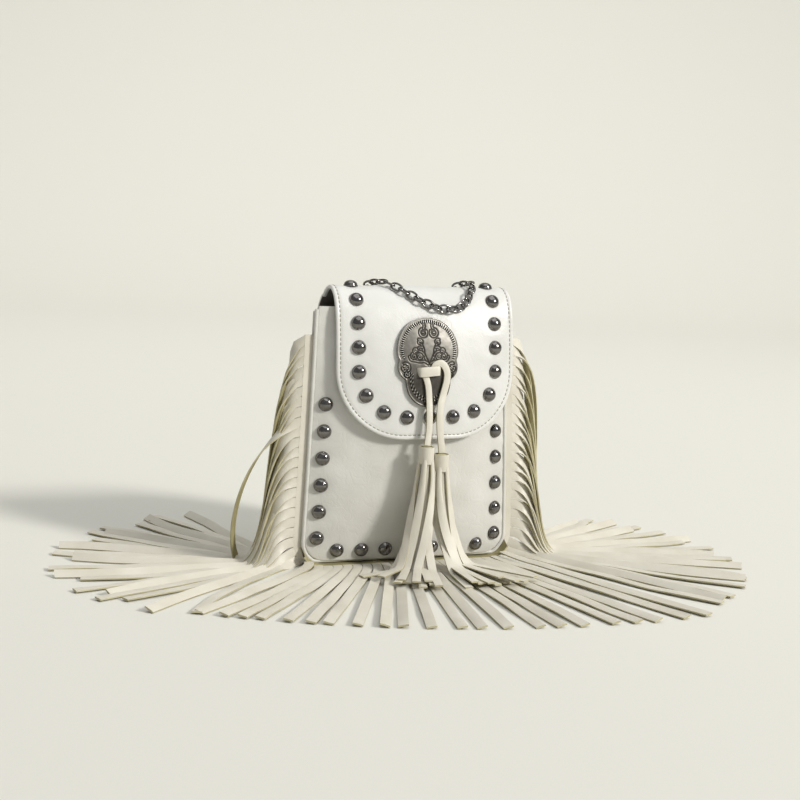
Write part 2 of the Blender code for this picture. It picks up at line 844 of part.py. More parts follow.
def build_lace(col, mat):
    """Flat lace: two tails tied through the plate."""
    top = PLATE_GAP + PLATE_THICK
    xl, zl = TASSEL_LEFT
    xr, zr = TASSEL_RIGHT
    mid = FLAP_SHIFT + PLATE_X
    band = top + 3.0
    places = [
        (xl, zl + 1.2, 7.5, 3.6),
        (mid - 0.8, 100.0, 5.1, 3.6),
        (mid - 0.4, 113.0, top + 1.15, 3.6),
        (mid - 2.0, 121.0, top + 1.2, 3.8),
        (mid - 5.0, 126.5, top + 1.3, 4.6),
        (mid - 6.4, 128.5, top + 2.2, 5.6),
        (mid - 3.5, 129.0, band, 6.4),
        (mid + 3.0, 129.0, band, 6.4),
        (mid + 8.0, 129.8, band - 0.2, 5.0),
        (mid + 10.2, 125.5, band - 0.4, 3.8),
        (mid + 9.2, 115.0, top + 2.0, 3.6),
        (xr - 1.6, 102.0, 4.9, 3.6),
        (xr, zr + 1.2, 7.5, 3.6),
    ]
    line = [on_flap(x, z, off) for x, z, off, wide in places]
    line[0] = Vector((xl, TASSEL_Y, zl + 1.25))
    line[-1] = Vector((xr, TASSEL_Y, zr + 1.0))
    rows = []
    n = len(line)
    for i, p in enumerate(line):
        t = (line[min(n - 1, i + 1)] - line[max(0, i - 1)]).normalized()
        front = Vector((0, -1, 0.08)).normalized()
        if i == 5:
            t = Vector((0.0, -1.0, 0.0))
            w = Vector((0.0, 0.0, -1.0))
        else:
            w = t.cross(front).normalized()
        wide = places[i][3]
        rows.append((p - w * wide / 2, p + w * wide / 2))
    rows[5] = (line[5] + Vector((0, 0, -2.8)), line[5] + Vector((0, 0, 2.8)))
    fixed = [rows[0]]
    for a, b in rows[1:]:
        pa, pb = fixed[-1]
        if (a - pa).length + (b - pb).length > (b - pa).length + (a - pb).length:
            a, b = b, a
        fixed.append((a, b))
    return sheet("concho_lace", col, mat, fixed, LACE_THICK, offset=0.0)


TASSEL_PLANS = {
    "left": [
        ((-24.0, -58.0), (-46.0, -64.0), 0),
        ((-17.0, -66.0), (-31.0, -88.0), 0),
        ((-8.5, -71.0), (-20.0, -99.0), 0),
        ((-1.0, -73.0), (-9.0, -103.0), 0),
        ((-14.0, -61.0), (-25.0, -84.0), 1),
        ((-4.0, -66.0), (-11.0, -93.0), 1),
    ],
    "right": [
        ((14.0, -72.0), (11.0, -104.0), 0),
        ((21.0, -70.0), (29.0, -106.0), 0),
        ((27.0, -66.0), (44.0, -106.0), 0),
        ((32.0, -60.0), (60.0, -96.0), 0),
        ((18.0, -65.0), (20.0, -100.0), 1),
        ((25.0, -61.0), (38.0, -94.0), 1),
    ],
}


def build_tassel(side, col, mat):
    """Tassel: a cut strip rolled in its wrap, its strands falling to the floor."""
    x0, z0 = TASSEL_LEFT if side == "left" else TASSEL_RIGHT
    plans = TASSEL_PLANS[side]
    sign = -1.0 if side == "left" else 1.0
    step = STRIP + STRIP_GAP
    inner = 1.5
    rise = 1.36 / (2 * math.pi)

    def spiral(s, spread):
        """Return the rolled strip's plan point at length s."""
        w = (math.sqrt(inner**2 + 2 * rise * s) - inner) / rise
        r = (inner + rise * w) * spread
        a = 2.6 + w
        return Vector((x0 + sign * r * math.cos(a), TASSEL_Y + r * math.sin(a), 0.0))

    head = []
    middle = []
    count = len(plans) * step
    cuts = []
    for k in range(len(plans)):
        cuts.append(k * step * 0.62)
        cuts.append(k * step * 0.62 + STRIP * 0.62)
    top = z0 - 0.4
    low = z0 - WRAP_H - 1.0
    for s in cuts:
        head.append(spiral(s, 1.0) + Vector((0, 0, top)))
        middle.append(spiral(s, 1.0) + Vector((0, 0, low)))
    order = sorted(range(len(plans)), key=lambda k: -k)
    ribbons = []
    for k in range(len(plans)):
        (lx, ly), (tx, ty), rank = plans[order[k]]
        a = middle[2 * k]
        b = middle[2 * k + 1]
        start = (a + b) / 2
        zf = 3.4 + 2.0 * rank
        rest = Vector((lx, ly, zf))
        tip = Vector((tx, ty, zf))
        d = (tip - rest).normalized()
        p1 = start + Vector((0, 0, -34.0)) + (start - Vector((x0, TASSEL_Y, start.z))) * 1.2
        p2 = rest - d * 7.0 + Vector((0, 0, 1.5))
        curve = [bezier(start, p1, p2, rest, t / 30) for t in range(31)]
        curve += [rest.lerp(tip, t / 8) for t in range(1, 9)]
        path = resample(curve, 8)
        widths = []
        start_w = (b - a).normalized()
        end_w = Vector((0, 0, 1)).cross(d)
        if end_w.dot(start_w) < 0:
            end_w = -end_w
        for i, p in enumerate(path):
            t = (path[min(8, i + 1)] - path[max(0, i - 1)]).normalized()
            w = start_w.lerp(end_w, smoothstep(i / 5.0))
            w = (w - t * w.dot(t)).normalized() if i else start_w
            widths.append(w)
        wides = [0.62 + 0.38 * smoothstep(i / 3.0) for i in range(9)]
        rows = [(p - w * (STRIP * g / 2), p + w * (STRIP * g / 2)) for p, w, g in zip(path, widths, wides)]
        rows[0] = (a, b)
        ribbons.append(rows)
    return comb(f"tassel_{side}", col, mat, head, ribbons, 0.9)


def build_wraps(col, mat):
    """Wraps that hold the rolled tassels."""
    for side, (x, z) in (("left", TASSEL_LEFT), ("right", TASSEL_RIGHT)):
        inner = WRAP_R - 0.7
        profile = [
            (inner, -WRAP_H),
            (WRAP_R - 0.2, -WRAP_H),
            (WRAP_R, -WRAP_H + 1.0),
            (WRAP_R, -1.0),
            (WRAP_R - 0.4, 0.3),
            (inner - 1.2, 0.7),
            (0.0, 0.7),
        ]
        lathe_shell(f"tassel_wrap_{side}", col, mat, profile, inner, 16, Vector((x, TASSEL_Y, z)))


def lathe_shell(name, col, mat, profile, inner, sides, origin):
    """Turn a cup: the outer profile, and a hollow of radius inner open at its foot."""
    hollow = [(0.0, -0.1), (inner, -0.1), (inner, profile[0][1])]
    verts = []
    faces = []
    rings = []
    for r, h in profile + hollow[:-1]:
        if r < 1e-6:
            rings.append([len(verts)])
            verts.append(origin + Vector((0, 0, h)))
        else:
            rings.append(list(range(len(verts), len(verts) + sides)))
            for k in range(sides):
                w = 2 * math.pi * k / sides
                verts.append(origin + Vector((r * math.cos(w), r * math.sin(w), h)))
    pairs = list(zip(rings[: len(profile)], rings[1 : len(profile)]))
    pairs += [(rings[len(profile)], rings[len(profile) + 1]), (rings[len(profile) + 1], rings[0])]
    for a, b in pairs:
        for k in range(sides):
            k2 = (k + 1) % sides
            if len(b) == 1:
                faces.append((a[k], a[k2], b[0]))
            elif len(a) == 1:
                faces.append((a[0], b[k2], b[k]))
            else:
                faces.append((a[k], a[k2], b[k2], b[k]))
    obj = make(name, col, mat, verts, faces)
    face_out(obj)
    return obj


def build_snap(col, mat):
    """Magnetic snap: a disc on the pouch and a disc under the flap."""
    z = 106.0
    base, out = front_point(0.0, z)
    s = flap_at_height(z + 0.5)
    roof, face = flap_point(-FLAP_SHIFT, s)
    under = roof - face * (FLAP_THICK + 0.3)
    room = (under - base).dot(-face) * -1.0
    disc = (room - 0.3 - 0.4) / 2
    lathe("snap_female", col, mat, [(7.0, 0.3), (7.0, disc - 0.3), (6.4, disc + 0.2)], 16, base, out)
    lathe("snap_male", col, mat, [(7.0, 0.0), (7.0, disc - 0.5), (6.2, disc - 0.1)], 16, under, -face)


# Chain strap


def link_ring(center, along, normal, col, mat, name):
    """Make one oval link as an eight-point ring of square wire."""
    side = normal.cross(along).normalized()
    normal = along.cross(side).normalized()
    a = (LINK_LENGTH - WIRE) / 2
    b = (LINK_WIDTH - WIRE) / 2
    verts = []
    faces = []
    n = 8
    for k in range(n):
        w = 2 * math.pi * (k + 0.5) / n
        e = along * math.cos(w) * a * 1.06 + side * math.sin(w) * b * 1.06
        r = e.normalized()
        for q in range(4):
            v = math.pi / 2 * (q + 0.5)
            off = (r * math.cos(v) + normal * math.sin(v)) * (WIRE / 2 * 1.2)
            verts.append(center + e + off)
    for k in range(n):
        k2 = (k + 1) % n
        for q in range(4):
            q2 = (q + 1) % 4
            faces.append((k * 4 + q, k * 4 + q2, k2 * 4 + q2, k2 * 4 + q))
    obj = make(name, col, mat, verts, faces)
    face_out(obj)
    return obj


def chain_run(name, places, col, cutters, mat):
    """Join overlapping links into one piece; each place is (point, along, outward)."""
    first = None
    for k, (p, t, out) in enumerate(places):
        tilt = math.radians(38.0 if k % 2 else -38.0)
        normal = Matrix.Rotation(tilt, 3, t) @ out
        home = col if k == 0 else cutters
        link = link_ring(p, t, normal, home, mat, name if k == 0 else f"{name}_link_{k:02d}")
        if k == 0:
            first = link
            continue
        link.display_type = "WIRE"
        link.hide_render = True
        mod = first.modifiers.new(f"link {k}", "BOOLEAN")
        mod.operation = "UNION"
        mod.solver = "EXACT"
        mod.object = link
    return first


def drape(x_left, x_right, low_z):
    """Return dense (point, outward) samples of the strap draped over the flap, hinge to hinge."""
    s_low = flap_at_height(low_z)
    mid = (x_left + x_right) / 2 + 3.0
    plan = [
        (x_left - 1.5, 0.0),
        (x_left, 9.0),
        (x_left + 5.5, 17.0),
        (x_left + 17.0, s_low - 12.0),
        (mid - 3.0, s_low - 3.5),
        (mid + 9.0, s_low),
        (mid + 21.0, s_low - 1.5),
        (x_right + 0.5, s_low - 9.0),
        (x_right + 6.5, 20.0),
        (x_right + 4.5, 12.0),
        (x_right + 1.0, 6.0),
        (x_right, 0.0),
    ]
    line = smooth_line(plan, 10)
    return [flap_point(p.x, p.y, CHAIN_OFF) for p in line]


def run_places(samples, start, end, pitch):
    """Return link places along samples between two running lengths."""
    pts = [p for p, out in samples]
    total = line_lengths(pts)
    count = max(1, round((end - start) / pitch))
    places = []
    for k in range(count):
        s = start + (end - start) * (k + 0.5) / count
        p = at_length(pts, total, s)
        t = (at_length(pts, total, s + 2.0) - at_length(pts, total, s - 2.0)).normalized()
        near = min(range(len(total)), key=lambda i: abs(total[i] - s))
        places.append((p, t, samples[near][1]))
    return places


def ring_x(sign):
    """Where a strap end is held on the back, a set way in from the back panel's edge."""
    if sign < 0:
        return RING_INSET + lean(RING_Z) - half_width(RING_Z)
    return half_width(RING_Z) - RING_INSET


def build_chain(col, cutters, mat):
    """Strap: draped part on the flap, two parts over the hinge and two runs behind the bag."""
    samples = drape(CHAIN_LEFT_X, CHAIN_RIGHT_X, CHAIN_LOW_Z)
    total = line_lengths([p for p, out in samples])
    places = run_places(samples, 15.0, total[-1] - 15.0, PITCH)
    chain_run("chain_front", places, col, cutters, mat)
    for side, local, sign in (("left", CHAIN_LEFT_X - 1.5, -1.0), ("right", CHAIN_RIGHT_X, 1.0)):
        x = local + FLAP_SHIFT
        ring = ring_x(sign)
        back = [
            Vector((x, 17.0, HINGE_Z - 5.3)),
            Vector((x + sign * 0.5, 22.6, HINGE_Z - 14.5)),
            Vector((x + sign * 1.0, back_y(145.0) + 2.4, 145.0)),
            Vector((x + sign * 3.0, back_y(105.0) + 2.2, 105.0)),
            Vector((x + sign * 8.0, back_y(60.0) + 2.2, 60.0)),
            Vector(((x + ring) / 2 + sign * 3.0, back_y(38.0) + 2.2, 38.0)),
            Vector((ring - sign * 3.0, back_y(60.0) + 1.9, 60.0)),
            Vector((ring, back_y(105.0) + 1.8, 105.0)),
            Vector((ring, back_y(138.0) + 2.2, RING_Z - 12.0)),
            Vector((ring, back_y(145.0) + 2.4, RING_Z - 5.0)),
        ]
        line = resample(smooth_line(back, 8), 46)
        radii = [2.3 if k % 2 else 1.3 for k in range(len(line))]
        radii[0] = 1.2
        radii[-1] = 1.4
        verts, faces = tube_mesh(line, radii, 6, up=Vector((0, 1, 0)), flat=0.8)
        obj = make(f"chain_back_{side}", col, mat, verts, faces)
        face_out(obj)
        ride = []
        for p, out in samples:
            ride.append((p, out))
        if side == "right":
            ride = list(reversed(ride))
        pts = [p for p, out in ride]
        lengths = line_lengths(pts)
        front = [at_length(pts, lengths, s) for s in (12.2, 8.0, 4.0)]
        over = front + [
            Vector((x, 8.6, HINGE_Z + 1.9)),
            Vector((x, 13.2, HINGE_Z - 1.3)),
            Vector((x, 16.3, HINGE_Z - 4.1)),
        ]
        over = resample(smooth_line(over, 6), 8)
        radii = [1.3 if k % 2 == 0 else 2.2 for k in range(len(over))]
        verts, faces = tube_mesh(over, radii, 6, up=Vector((1, 0, 0)), flat=0.8)
        obj = make(f"chain_over_{side}", col, mat, verts, faces)
        face_out(obj)


def build_tabs(col, mat):
    """Leather tabs on the back that hold the strap's ends."""
    for side, sign in (("left", -1.0), ("right", 1.0)):
        x = ring_x(sign)
        rows = []
        places = ((11.0, -0.1), (5.0, -0.35), (0.5, -0.3), (-2.2, 1.8), (-3.0, 4.4))
        for dz, out in places:
            z = RING_Z + dz
            yy = back_y(z) + TAB_THICK / 2 + out
            rows.append([(x - 5.0, yy, z), (x + 5.0, yy, z)])
        sheet(f"ring_tab_{side}", col, mat, rows, TAB_THICK, offset=0.0)


def main():
    """Build every piece."""
    for obj in list(bpy.data.objects):
        bpy.data.objects.remove(obj, do_unlink=True)
    part = collection("fringed_flap_bag")
    cutters = collection("cutters", hidden=True)
    leather = material("white leather", (0.80, 0.78, 0.72), 0.42)
    flap_mat = material("flap leather", (0.82, 0.80, 0.74), 0.40)
    fringe_mat = material("fringe leather", (0.78, 0.76, 0.68), 0.48)
    dark = material("dark metal", (0.12, 0.12, 0.12), 0.28, 1.0)
    silver = material("antique silver", (0.42, 0.40, 0.37), 0.38, 1.0)
    build_back_panel(part, leather)
    build_front_panel(part, leather)
    build_gusset(part, leather)
    build_piping(part, leather)
    build_flap(part, flap_mat)
    build_rivets(part, dark)
    build_side_fringe("fringe_left", -1.0, part, fringe_mat)
    build_side_fringe("fringe_right", 1.0, part, fringe_mat)
    build_base_fringe(part, fringe_mat)
    build_plate(part, silver)
    build_lace(part, fringe_mat)
    build_tassel("left", part, fringe_mat)
    build_tassel("right", part, fringe_mat)
    build_wraps(part, fringe_mat)
    build_snap(part, dark)
    build_chain(part, cutters, dark)
    build_tabs(part, leather)


main()
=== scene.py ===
# %% [markdown]
# A small fringed flap bag, dressed over its solid model.
#
# The solid model gives every piece its place and size. Here each piece gets the look of the real one:
# pale imitation leather with turned edges and stitching, cut strips with a raw edge, dark domed rivets,
# a cast plate with worn relief, and a curb chain. Lengths are written in millimetres, because that is how
# a maker thinks of them, and they are scaled to metres only where a mesh is made.

import math

import bmesh
import bpy
import numpy as np
from mathutils import Matrix, Vector, noise


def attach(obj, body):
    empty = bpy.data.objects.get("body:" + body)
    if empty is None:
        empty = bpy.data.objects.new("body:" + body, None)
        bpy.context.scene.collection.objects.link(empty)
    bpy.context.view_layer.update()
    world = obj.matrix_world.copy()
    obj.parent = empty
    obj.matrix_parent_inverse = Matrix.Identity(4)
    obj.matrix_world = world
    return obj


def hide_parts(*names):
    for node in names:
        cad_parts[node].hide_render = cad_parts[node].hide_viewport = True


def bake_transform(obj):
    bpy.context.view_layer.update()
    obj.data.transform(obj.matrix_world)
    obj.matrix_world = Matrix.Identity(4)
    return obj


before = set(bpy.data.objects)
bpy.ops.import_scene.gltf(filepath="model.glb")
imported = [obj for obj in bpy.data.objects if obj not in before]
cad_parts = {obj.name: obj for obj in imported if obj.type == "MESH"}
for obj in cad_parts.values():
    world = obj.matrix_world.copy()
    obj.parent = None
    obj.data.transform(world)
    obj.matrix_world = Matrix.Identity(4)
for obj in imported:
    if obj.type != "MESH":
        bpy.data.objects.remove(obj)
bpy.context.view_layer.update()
MM = 0.001
POUCH = "pouch"
FLAP = "flap_assembly"
UP = Vector((0, 0, 1))
print("nodes:", len(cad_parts))

# %% [markdown]
# The camera stands to the left of the bag's middle and a little above it, as the photographer did.
# Its place was worked out from the way the two sides of the bag shrink in the picture.

# %% Camera
CAMERA_AZIMUTH = math.radians(-21.0)
CAMERA_FAR = 0.95
CAMERA_HIGH = 0.235
CAMERA_PITCH = math.radians(-7.75)
CAMERA_ROLL = math.radians(2.3)
LENS = 64.1


def place_object(name, data):
    """Put mesh, camera or lamp data into the scene as an object."""
    obj = bpy.data.objects.new(name, data)
    bpy.context.scene.collection.objects.link(obj)
    return obj


def make_camera():
    """Put the camera at the photograph's place, aimed along the floor and tipped down."""
    data = bpy.data.cameras.new("camera")
    data.lens = LENS
    data.sensor_width = 36.0
    data.clip_start = 0.01
    cam = place_object("camera", data)
    place = (CAMERA_FAR * math.sin(CAMERA_AZIMUTH), -CAMERA_FAR * math.cos(CAMERA_AZIMUTH), CAMERA_HIGH)
    level = Matrix.Rotation(CAMERA_AZIMUTH, 4, "Z") @ Matrix.Rotation(math.pi / 2, 4, "X")
    tip = Matrix.Rotation(CAMERA_PITCH, 4, "X") @ Matrix.Rotation(CAMERA_ROLL, 4, "Z")
    cam.matrix_world = Matrix.Translation(place) @ level @ tip
    bpy.context.scene.camera = cam
    return cam


camera = make_camera()
print("camera at", [round(v, 3) for v in camera.location])

# %% [markdown]
# Colours are read from the real finishes as sRGB, and shaders want linear values. One function does
# that change, one helper adds a node and joins its sockets, and one starts every cloudy finish.

# %% Colour and node helpers


def linear(hex_colour):
    """Turn #rrggbb into the linear colour that a shader takes."""
    out = []
    for k in (1, 3, 5):
        c = int(hex_colour[k : k + 2], 16) / 255
        out.append(c / 12.92 if c <= 0.04045 else ((c + 0.055) / 1.055) ** 2.4)
    return (*out, 1.0)


def add(tree, kind, values=None, links=None, **settings):
    """Add a node, set its plain values and settings, and link its inputs."""
    node = tree.nodes.new(kind)
    for name, value in settings.items():
        setattr(node, name, value)
    for name, value in (values or {}).items():
        node.inputs[name].default_value = value
    for name, socket in (links or {}).items():
        tree.links.new(socket, node.inputs[name])
    return node


def ramp(tree, source, stops):
    """Return the colour of a ramp with (place, colour) stops."""
    node = add(tree, "ShaderNodeValToRGB", links={"Fac": source})
    band = node.color_ramp
    for element, stop in zip(band.elements, stops[:2]):
        element.position, element.color = stop
    for place, colour in stops[2:]:
        band.elements.new(place).color = colour
    return node.outputs["Color"]


def bump(tree, strength, deep, height, under=None):
    """Return the normal of a bump of a depth in metres, laid over another bump's normal."""
    links = {"Height": height}
    if under:
        links["Normal"] = under
    values = {"Strength": strength, "Distance": deep}
    return add(tree, "ShaderNodeBump", values, links).outputs["Normal"]


def polish(tree, source, low, high, rough_low, rough_high):
    """Return a roughness that goes from one value to another with its source."""
    values = {"From Min": low, "From Max": high, "To Min": rough_low, "To Max": rough_high}
    return add(tree, "ShaderNodeMapRange", values, {"Value": source}).outputs["Result"]


def cloudy(name, scale, detail, **plain):
    """Start a material: return it, its tree, its shader, the place on the object and a cloud of noise."""
    mat = bpy.data.materials.new(name)
    mat.use_nodes = True
    tree = mat.node_tree
    shader = tree.nodes["Principled BSDF"]
    for key, value in plain.items():
        shader.inputs[key.replace("_", " ")].default_value = value
    place = add(tree, "ShaderNodeTexCoord").outputs["Object"]
    cloud = add(tree, "ShaderNodeTexNoise", {"Scale": scale, "Detail": detail}, {"Vector": place})
    return mat, tree, shader, place, cloud.outputs["Fac"]


def dress(tree, shader, **sockets):
    """Link colour, roughness and normal to a shader."""
    for key, socket in sockets.items():
        tree.links.new(socket, shader.inputs[key.replace("_", " ")])


print("linear white leather:", [round(c, 3) for c in linear("#e2e2de")])

# %% [markdown]
# Smooth imitation leather is a coat of soft plastic on cloth. It has a fine pebble of about half a
# millimetre, shallow creases a few millimetres long where it has been bent, and a low sheen.
# All of it is bump and roughness, since none of it is deep enough to change the outline.

# %% White leather
PEBBLE_SCALE = 1500.0
CREASE_SCALE = 110.0
BLACK = (0.0, 0.0, 0.0, 1)
PAPER = (1, 1, 1, 1)


def leather(name, base, shade, rough, crease, grain=0.55):
    """Make the coated leather: two close tones, fine grain and soft creases give it a quiet sheen."""
    mat, tree, shader, place, cloud = cloudy(name, 38.0, 4.0, Specular_IOR_Level=0.45)
    pebble = add(tree, "ShaderNodeTexVoronoi", {"Scale": PEBBLE_SCALE, "Randomness": 1.0}, {"Vector": place})
    values = {"Scale": CREASE_SCALE, "Detail": 6.0, "Distortion": 1.1}
    bend = add(tree, "ShaderNodeTexNoise", values, {"Vector": place})
    line = ramp(tree, bend.outputs["Fac"], [(0.40, PAPER), (0.60, PAPER), (0.50, BLACK)])
    creases = bump(tree, crease, 0.00025, line)
    dress(
        tree,
        shader,
        Base_Color=ramp(tree, cloud, [(0.35, linear(shade)), (0.68, linear(base))]),
        Roughness=polish(tree, cloud, 0.3, 0.7, rough - 0.06, rough + 0.07),
        Normal=bump(tree, grain, 0.00006, pebble.outputs["Distance"], creases),
    )
    return mat


flap_leather = leather("white_flap_leather", "#e2e2de", "#dadad5", 0.34, 0.12)
pouch_leather = leather("white_pouch_leather", "#dbdad4", "#d1d0c9", 0.38, 0.22)
strip_leather = leather("white_strip_leather", "#dedacd", "#d3cebf", 0.44, 0.08)
print("leathers:", flap_leather.name, pouch_leather.name, strip_leather.name)

# %% [markdown]
# The back of each strip is the cloth backing, and its cut edge shows the foam between coat and cloth.
# Both are duller and yellower than the coat, which is what makes the gaps in the fringe look olive.

# %% Backing and cut edge


def backing(name, base, shade, rough, weave):
    """Make the dull backing: a fine weave with faint yellow clouds."""
    mat, tree, shader, place, cloud = cloudy(name, 60.0, 3.0, Roughness=rough, Specular_IOR_Level=0.2)
    fibre = add(tree, "ShaderNodeTexNoise", {"Scale": weave, "Detail": 2.0}, {"Vector": place})
    dress(
        tree,
        shader,
        Base_Color=ramp(tree, cloud, [(0.3, linear(shade)), (0.7, linear(base))]),
        Normal=bump(tree, 0.5, 0.00012, fibre.outputs["Fac"]),
    )
    return mat


strip_back = backing("strip_backing", "#a69e78", "#8f8762", 0.85, 1800.0)
cut_edge = backing("strip_cut_edge", "#c6c0a0", "#aea684", 0.8, 2400.0)
lining = backing("lining_cloth", "#77726a", "#625d55", 0.9, 1500.0)
thread = backing("stitch_thread", "#bcb9ae", "#a5a297", 0.7, 3000.0)
POUCH_COATS = [pouch_leather, lining]
STRIP_COATS = [strip_leather, strip_back, cut_edge]
print("backings:", strip_back.name, cut_edge.name, lining.name)

# %% [markdown]
# The rivets and the chain are plated dark and polished: black mirror with a faint brown edge where the
# plating thins. The plate is cast and oxidised, then rubbed, so its high places are bright and its
# hollows are black. A painted attribute carries the height of the relief to the shader, and with it a
# painted shade that darkens the plate's lower part.

# %% Metals


def dark_plate(name):
    """Make polished gunmetal plating, whose thin clouds keep the mirror from looking perfect."""
    mat, tree, shader, place, cloud = cloudy(name, 260.0, 5.0, Metallic=1.0)
    tone = ramp(tree, cloud, [(0.3, linear("#6f6d6b")), (0.75, linear("#8a8784"))])
    dress(tree, shader, Base_Color=tone, Roughness=polish(tree, cloud, 0.3, 0.7, 0.10, 0.20))
    return mat


def antique_plate(name):
    """Make oxidised silver whose tone follows the painted attribute of worn relief and painted shade."""
    mat, tree, shader, place, cloud = cloudy(name, 300.0, 6.0, Metallic=1.0)
    wear_and_painted_shade = add(tree, "ShaderNodeAttribute", attribute_name="wear_and_painted_shade").outputs["Fac"]
    level = add(tree, "ShaderNodeMath", {1: 0.24}, {0: cloud}, operation="MULTIPLY").outputs["Value"]
    total = add(tree, "ShaderNodeMath", links={0: wear_and_painted_shade, 1: level}, operation="ADD").outputs["Value"]
    stops = ((0.16, "#181715"), (0.95, "#d8d5ce"), (0.42, "#55524d"), (0.62, "#8f8c86"))
    dress(
        tree,
        shader,
        Base_Color=ramp(tree, total, [(place, linear(colour)) for place, colour in stops]),
        Roughness=polish(tree, total, 0.2, 0.9, 0.62, 0.28),
        Normal=bump(tree, 0.25, 0.0001, cloud),
    )
    return mat


gunmetal = dark_plate("gunmetal_plating")
silver = antique_plate("antique_silver_plating")
print("metals:", gunmetal.name, silver.name)

# %% [markdown]
# The bag's own sizes come next. They repeat the values of the solid model, because this file reads
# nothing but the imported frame, and each surface below has to lie where its solid lies.

# %% Sizes of the pouch and the flap
TOP_HALF = 67.5
BASE_HALF = 73.0
CORNER = 16.0
POUCH_TOP = 164.0
LEATHER = 2.0
FLAP_HALF = 62.3
FLAP_SHIFT = 6.8
FLAP_THICK = 2.4
FLAP_CORNER = 45.0
FLAP_DROP = 6.5
HINGE_Y = 6.0
HINGE_Z = 175.9
FLAP_PROFILE = [(HINGE_Y, HINGE_Z), (0.0, 180.6), (-7.0, 182.8), (-14.0, 181.8), (-21.5, 176.2)]
FLAP_PROFILE += [(-27.8, 164.4), (-33.2, 144.5), (-36.8, 119.0), (-39.3, 96.0), (-40.1, 85.4)]
BACK_PROFILE = [(26.0, 0.4), (25.4, 30.0), (25.0, 80.0), (24.6, 130.0), (21.5, 154.0), (14.0, 168.0)]
BACK_PROFILE += [(HINGE_Y + 0.3, HINGE_Z - 0.2)]
EDGE_Y = [(0, -21.5), (60, -21.5), (120, -20.0), (POUCH_TOP, -18.0)]
BULGE = [(0, 2.0), (16, 7.0), (45, 11.5), (80, 12.0), (115, 10.5), (145, 6.5), (166, 3.0)]
BACK_Y = [(0, 26.0), (30, 25.4), (80, 25.0), (130, 24.6), (154, 21.5), (166, 16.5)]
RIVET_R = 4.7
RIVET_H = 3.6
RIVET_INSET = 14.5

# %% Lines and curves


def smoothstep(t):
    """Ease from 0 to 1."""
    t = max(0.0, min(1.0, t))
    return t * t * (3.0 - 2.0 * t)


def through(points, t):
    """Return the smooth value at t of the curve through (t, value) pairs in rising order."""
    if t <= points[0][0]:
        return points[0][1]
    if t >= points[-1][0]:
        return points[-1][1]
    i = 0
    while points[i + 1][0] < t:
        i += 1
    slopes = []
    for k in (i, i + 1):
        a = points[max(0, k - 1)]
        b = points[min(len(points) - 1, k + 1)]
        slopes.append((b[1] - a[1]) / (b[0] - a[0]))
    (x0, y0), (x1, y1) = points[i : i + 2]
    h = x1 - x0
    u = (t - x0) / h
    a = (2 * u**3 - 3 * u**2 + 1) * y0 + (u**3 - 2 * u**2 + u) * h * slopes[0]
    return a + (-2 * u**3 + 3 * u**2) * y1 + (u**3 - u**2) * h * slopes[1]


def smooth_line(points, steps):
    """Return a dense line through 2-D or 3-D points, by a Catmull-Rom curve."""
    pts = [Vector(p) for p in points]
    ends = [pts[0] * 2 - pts[1]] + pts + [pts[-1] * 2 - pts[-2]]
    line = []
    for p0, p1, p2, p3 in zip(ends, ends[1:], ends[2:], ends[3:]):
        for k in range(steps):
            u = k / steps
            bend = (2 * p0 - 5 * p1 + 4 * p2 - p3) * u * u + (3 * p1 - p0 - 3 * p2 + p3) * u**3
            line.append(0.5 * (2 * p1 + (p2 - p0) * u + bend))
    return line + [pts[-1]]


def line_lengths(line):
    """Return the running length at each point of a line."""
    total = [0.0]
    for a, b in zip(line, line[1:]):
        total.append(total[-1] + (b - a).length)
    return total


def at_length(line, total, s):
    """Return the point of a line at running length s, held to its ends."""
    s = max(0.0, min(total[-1], s))
    low, high = 0, len(total) - 1
    while high - low > 1:
        mid = (low + high) // 2
        low, high = (mid, high) if total[mid] < s else (low, mid)
    u = (s - total[low]) / max(1e-9, total[high] - total[low])
    return line[low].lerp(line[high], u)


def even_points(curve, count):
    """Return count + 1 evenly spaced points of a curve and the running length at each."""
    total = line_lengths(curve)
    stops = [total[-1] * i / count for i in range(count + 1)]
    return [at_length(curve, total, s) for s in stops], stops


def heading(line, i):
    """Return a line's direction at one of its points."""
    return (line[min(len(line) - 1, i + 1)] - line[max(0, i - 1)]).normalized()


def bezier(p0, p1, p2, p3, count, first=0):
    """Return the points of a cubic curve at count even steps."""
    line = []
    for k in range(first, count + 1):
        t = k / count
        u = 1.0 - t
        line.append(p0 * u**3 + p1 * (3 * u * u * t) + p2 * (3 * u * t * t) + p3 * t**3)
    return line


def circle(sides):
    """Return the cosine and sine of even turns round a circle."""
    turns = [2 * math.pi * k / sides for k in range(sides)]
    return [(math.cos(w), math.sin(w)) for w in turns]


print("curve helpers ready")

# %% Shape of the pouch and the flap
FLAP_LINE = smooth_line(FLAP_PROFILE, 24)
FLAP_TOTAL = line_lengths(FLAP_LINE)
FLAP_LENGTH = FLAP_TOTAL[-1]


def half_width(z):
    """Half width of the pouch at height z, with its rounded lower corners."""
    side = BASE_HALF + (TOP_HALF - BASE_HALF) * (max(z, CORNER) - CORNER) / (POUCH_TOP - CORNER)
    if z >= CORNER:
        return side
    return side - CORNER + math.sqrt(max(0.0, CORNER**2 - (CORNER - z) ** 2))


def flap_drop(x, s):
    """How far the flap's outer face falls back from its middle."""
    return FLAP_DROP * smoothstep((s - 12.0) / 70.0) * abs(x / FLAP_HALF) ** 2.2


